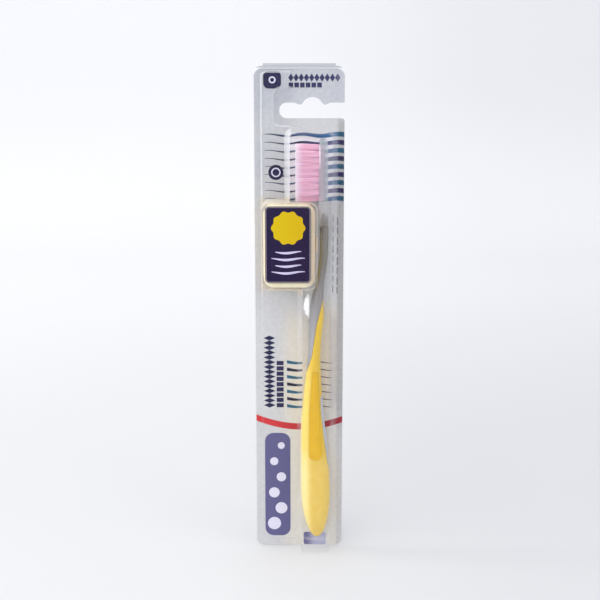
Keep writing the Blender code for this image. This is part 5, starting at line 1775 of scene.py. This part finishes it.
def make_navy(looks):
    """The navy badge, the rosette and the rows of lozenges and dashes."""
    navy = [rounded_plate(BADGE), disc(ROSETTE, ROSETTE_RADIUS, *ink_depth())]
    navy.append(disc(ROSETTE, ROSETTE_DOT, *ink_depth(2)))
    navy.append(disc(BADGE_MIDDLE, BADGE_DOT, *ink_depth(2)))
    for row in LOZENGE_ROWS:
        navy += lozenge_row(*row)
    print_on_film("navy_patches", looks["navy_ink"], navy)


def make_fine_print(looks):
    """Columns of thin grey dashes at the right."""
    fine = []
    for column in range(FINE_PRINT_COLUMNS):
        for row in range(FINE_PRINT_ROWS):
            x = FINE_PRINT_LEFT + column * FINE_PRINT_PITCH
            z = FINE_PRINT_TOP - row * FINE_PRINT_ROW_PITCH - column * FINE_PRINT_STAGGER
            length = FINE_PRINT_LENGTH + FINE_PRINT_LONGER * ((row + column) % 2)
            fine.append(rounded_plate((x, x + FINE_PRINT_WIDTH, z - length, z, 0.0)))
    print_on_film("fine_print", looks["grey_ink"], fine)


def make_label(looks):
    """The label on the front of the cap's bay: a foil rim, a navy ground, a sun and waves."""
    back = FLANGE_Y - CAP_BAY_DEPTH - GAP
    front = back - LABEL_THICKNESS
    rim = plate("label_rim", label_corners(), front + INK, back)
    dress(rim, "pack", "label", looks["foil"], "front_label")
    ground = plate("label_ground", label_corners(), front + INK / 2, back - INK, LABEL_RIM)
    dress(ground, "pack", "label", looks["label_ink"])

    depth = (front, back - INK)
    radii = []
    for step in range(SUN_SIDES):
        wave = math.cos(SUN_RAYS * 2 * math.pi * step / SUN_SIDES)
        radii.append(SUN_RADIUS * (1 - SUN_RAY_SHARE * (1 - wave) / 2))
    sun = flat_shape("label_sun", round_points(SUN, radii), *depth)
    dress(sun, "pack", "label", looks["sun_ink"])

    waves = []
    width_at = swelling(LABEL_WAVE_THIN, LABEL_WAVE_SWELL)
    for index in range(LABEL_WAVE_COUNT):
        reach = LABEL_WAVE_REACH * (1 if index % 2 else LABEL_WAVE_SHORT_SHARE)
        height = LABEL_WAVE_TOP - index * LABEL_WAVE_PITCH
        waves.append(ribbon(wave_path(SUN[0] - reach, SUN[0] + reach, height, width_at), *depth))
    dress(joined("label_waves", waves), "pack", "label", looks["lavender_ink"])


def make_floor(looks):
    """A pale floor that sweeps up behind the object."""
    profile = [(SWEEP_FRONT, 0.0)]
    for step in range(SWEEP_STEPS + 1):
        turn = math.pi / 2 * step / SWEEP_STEPS
        y = SWEEP_BACK + SWEEP_RADIUS * math.sin(turn)
        profile.append((y, SWEEP_RADIUS * (1 - math.cos(turn))))
    profile.append((SWEEP_BACK + SWEEP_RADIUS, SWEEP_TOP))
    bm = bmesh.new()
    rows = [[bm.verts.new((x, y, z)) for x in (-SWEEP_REACH, SWEEP_REACH)] for y, z in profile]
    for lower, upper in zip(rows, rows[1:]):
        bm.faces.new((lower[0], lower[1], upper[1], upper[0]))
    floor = add_bmesh("floor_sweep", bm)
    floor.data.materials.append(looks["floor"])
    floor.data.shade_smooth()


def make_world():
    """A pale world that lights the object from all round."""
    world = bpy.data.worlds.new("studio")
    bpy.context.scene.world = world
    world.use_nodes = True
    background = world.node_tree.nodes["Background"]
    background.inputs["Color"].default_value = WORLD_COLOUR
    background.inputs["Strength"].default_value = WORLD_STRENGTH


def make_lamp(name, place, size, power, colour):
    """A square soft lamp that faces the object's middle."""
    lamp_data = bpy.data.lights.new(name, "AREA")
    lamp_data.size = size
    lamp_data.energy = power
    lamp_data.color = colour
    lamp = add_object(name, lamp_data)
    lamp.location = place
    aim = Vector(CAMERA_TARGET) - Vector(place)
    lamp.rotation_euler = aim.to_track_quat("-Z", "Y").to_euler()


def make_camera():
    """The camera at the photograph's viewing angle, and how its picture is shown."""
    scene = bpy.context.scene
    camera_data = bpy.data.cameras.new("camera")
    camera_data.sensor_width = SENSOR_WIDTH
    camera_data.lens = CAMERA_LENS
    camera_data.clip_start = CAMERA_CLIP
    camera = add_object("camera", camera_data)
    back = Vector((0.0, -math.cos(CAMERA_PITCH), math.sin(CAMERA_PITCH)))
    camera.location = Vector(CAMERA_TARGET) + back * CAMERA_DISTANCE
    camera.rotation_euler = (-back).to_track_quat("-Z", "Y").to_euler()
    scene.camera = camera
    scene.view_settings.view_transform = "Standard"
    scene.cycles.transparent_max_bounces = CLEAR_LAYERS


LOOKS = make_looks()
make_floor(LOOKS)
make_world()
for lamp_values in LAMPS:
    make_lamp(*lamp_values)
make_camera()
make_blister(LOOKS)
make_cover(LOOKS)
make_core(LOOKS)
make_grip(LOOKS)
make_pads(LOOKS)
make_strip(LOOKS)
make_head(LOOKS)
make_tufts(LOOKS)
make_tray(LOOKS)
make_door(LOOKS)
make_waves(LOOKS)
make_low_waves(LOOKS)
make_band(LOOKS)
make_panels(LOOKS)
make_navy(LOOKS)
make_fine_print(LOOKS)
make_label(LOOKS)
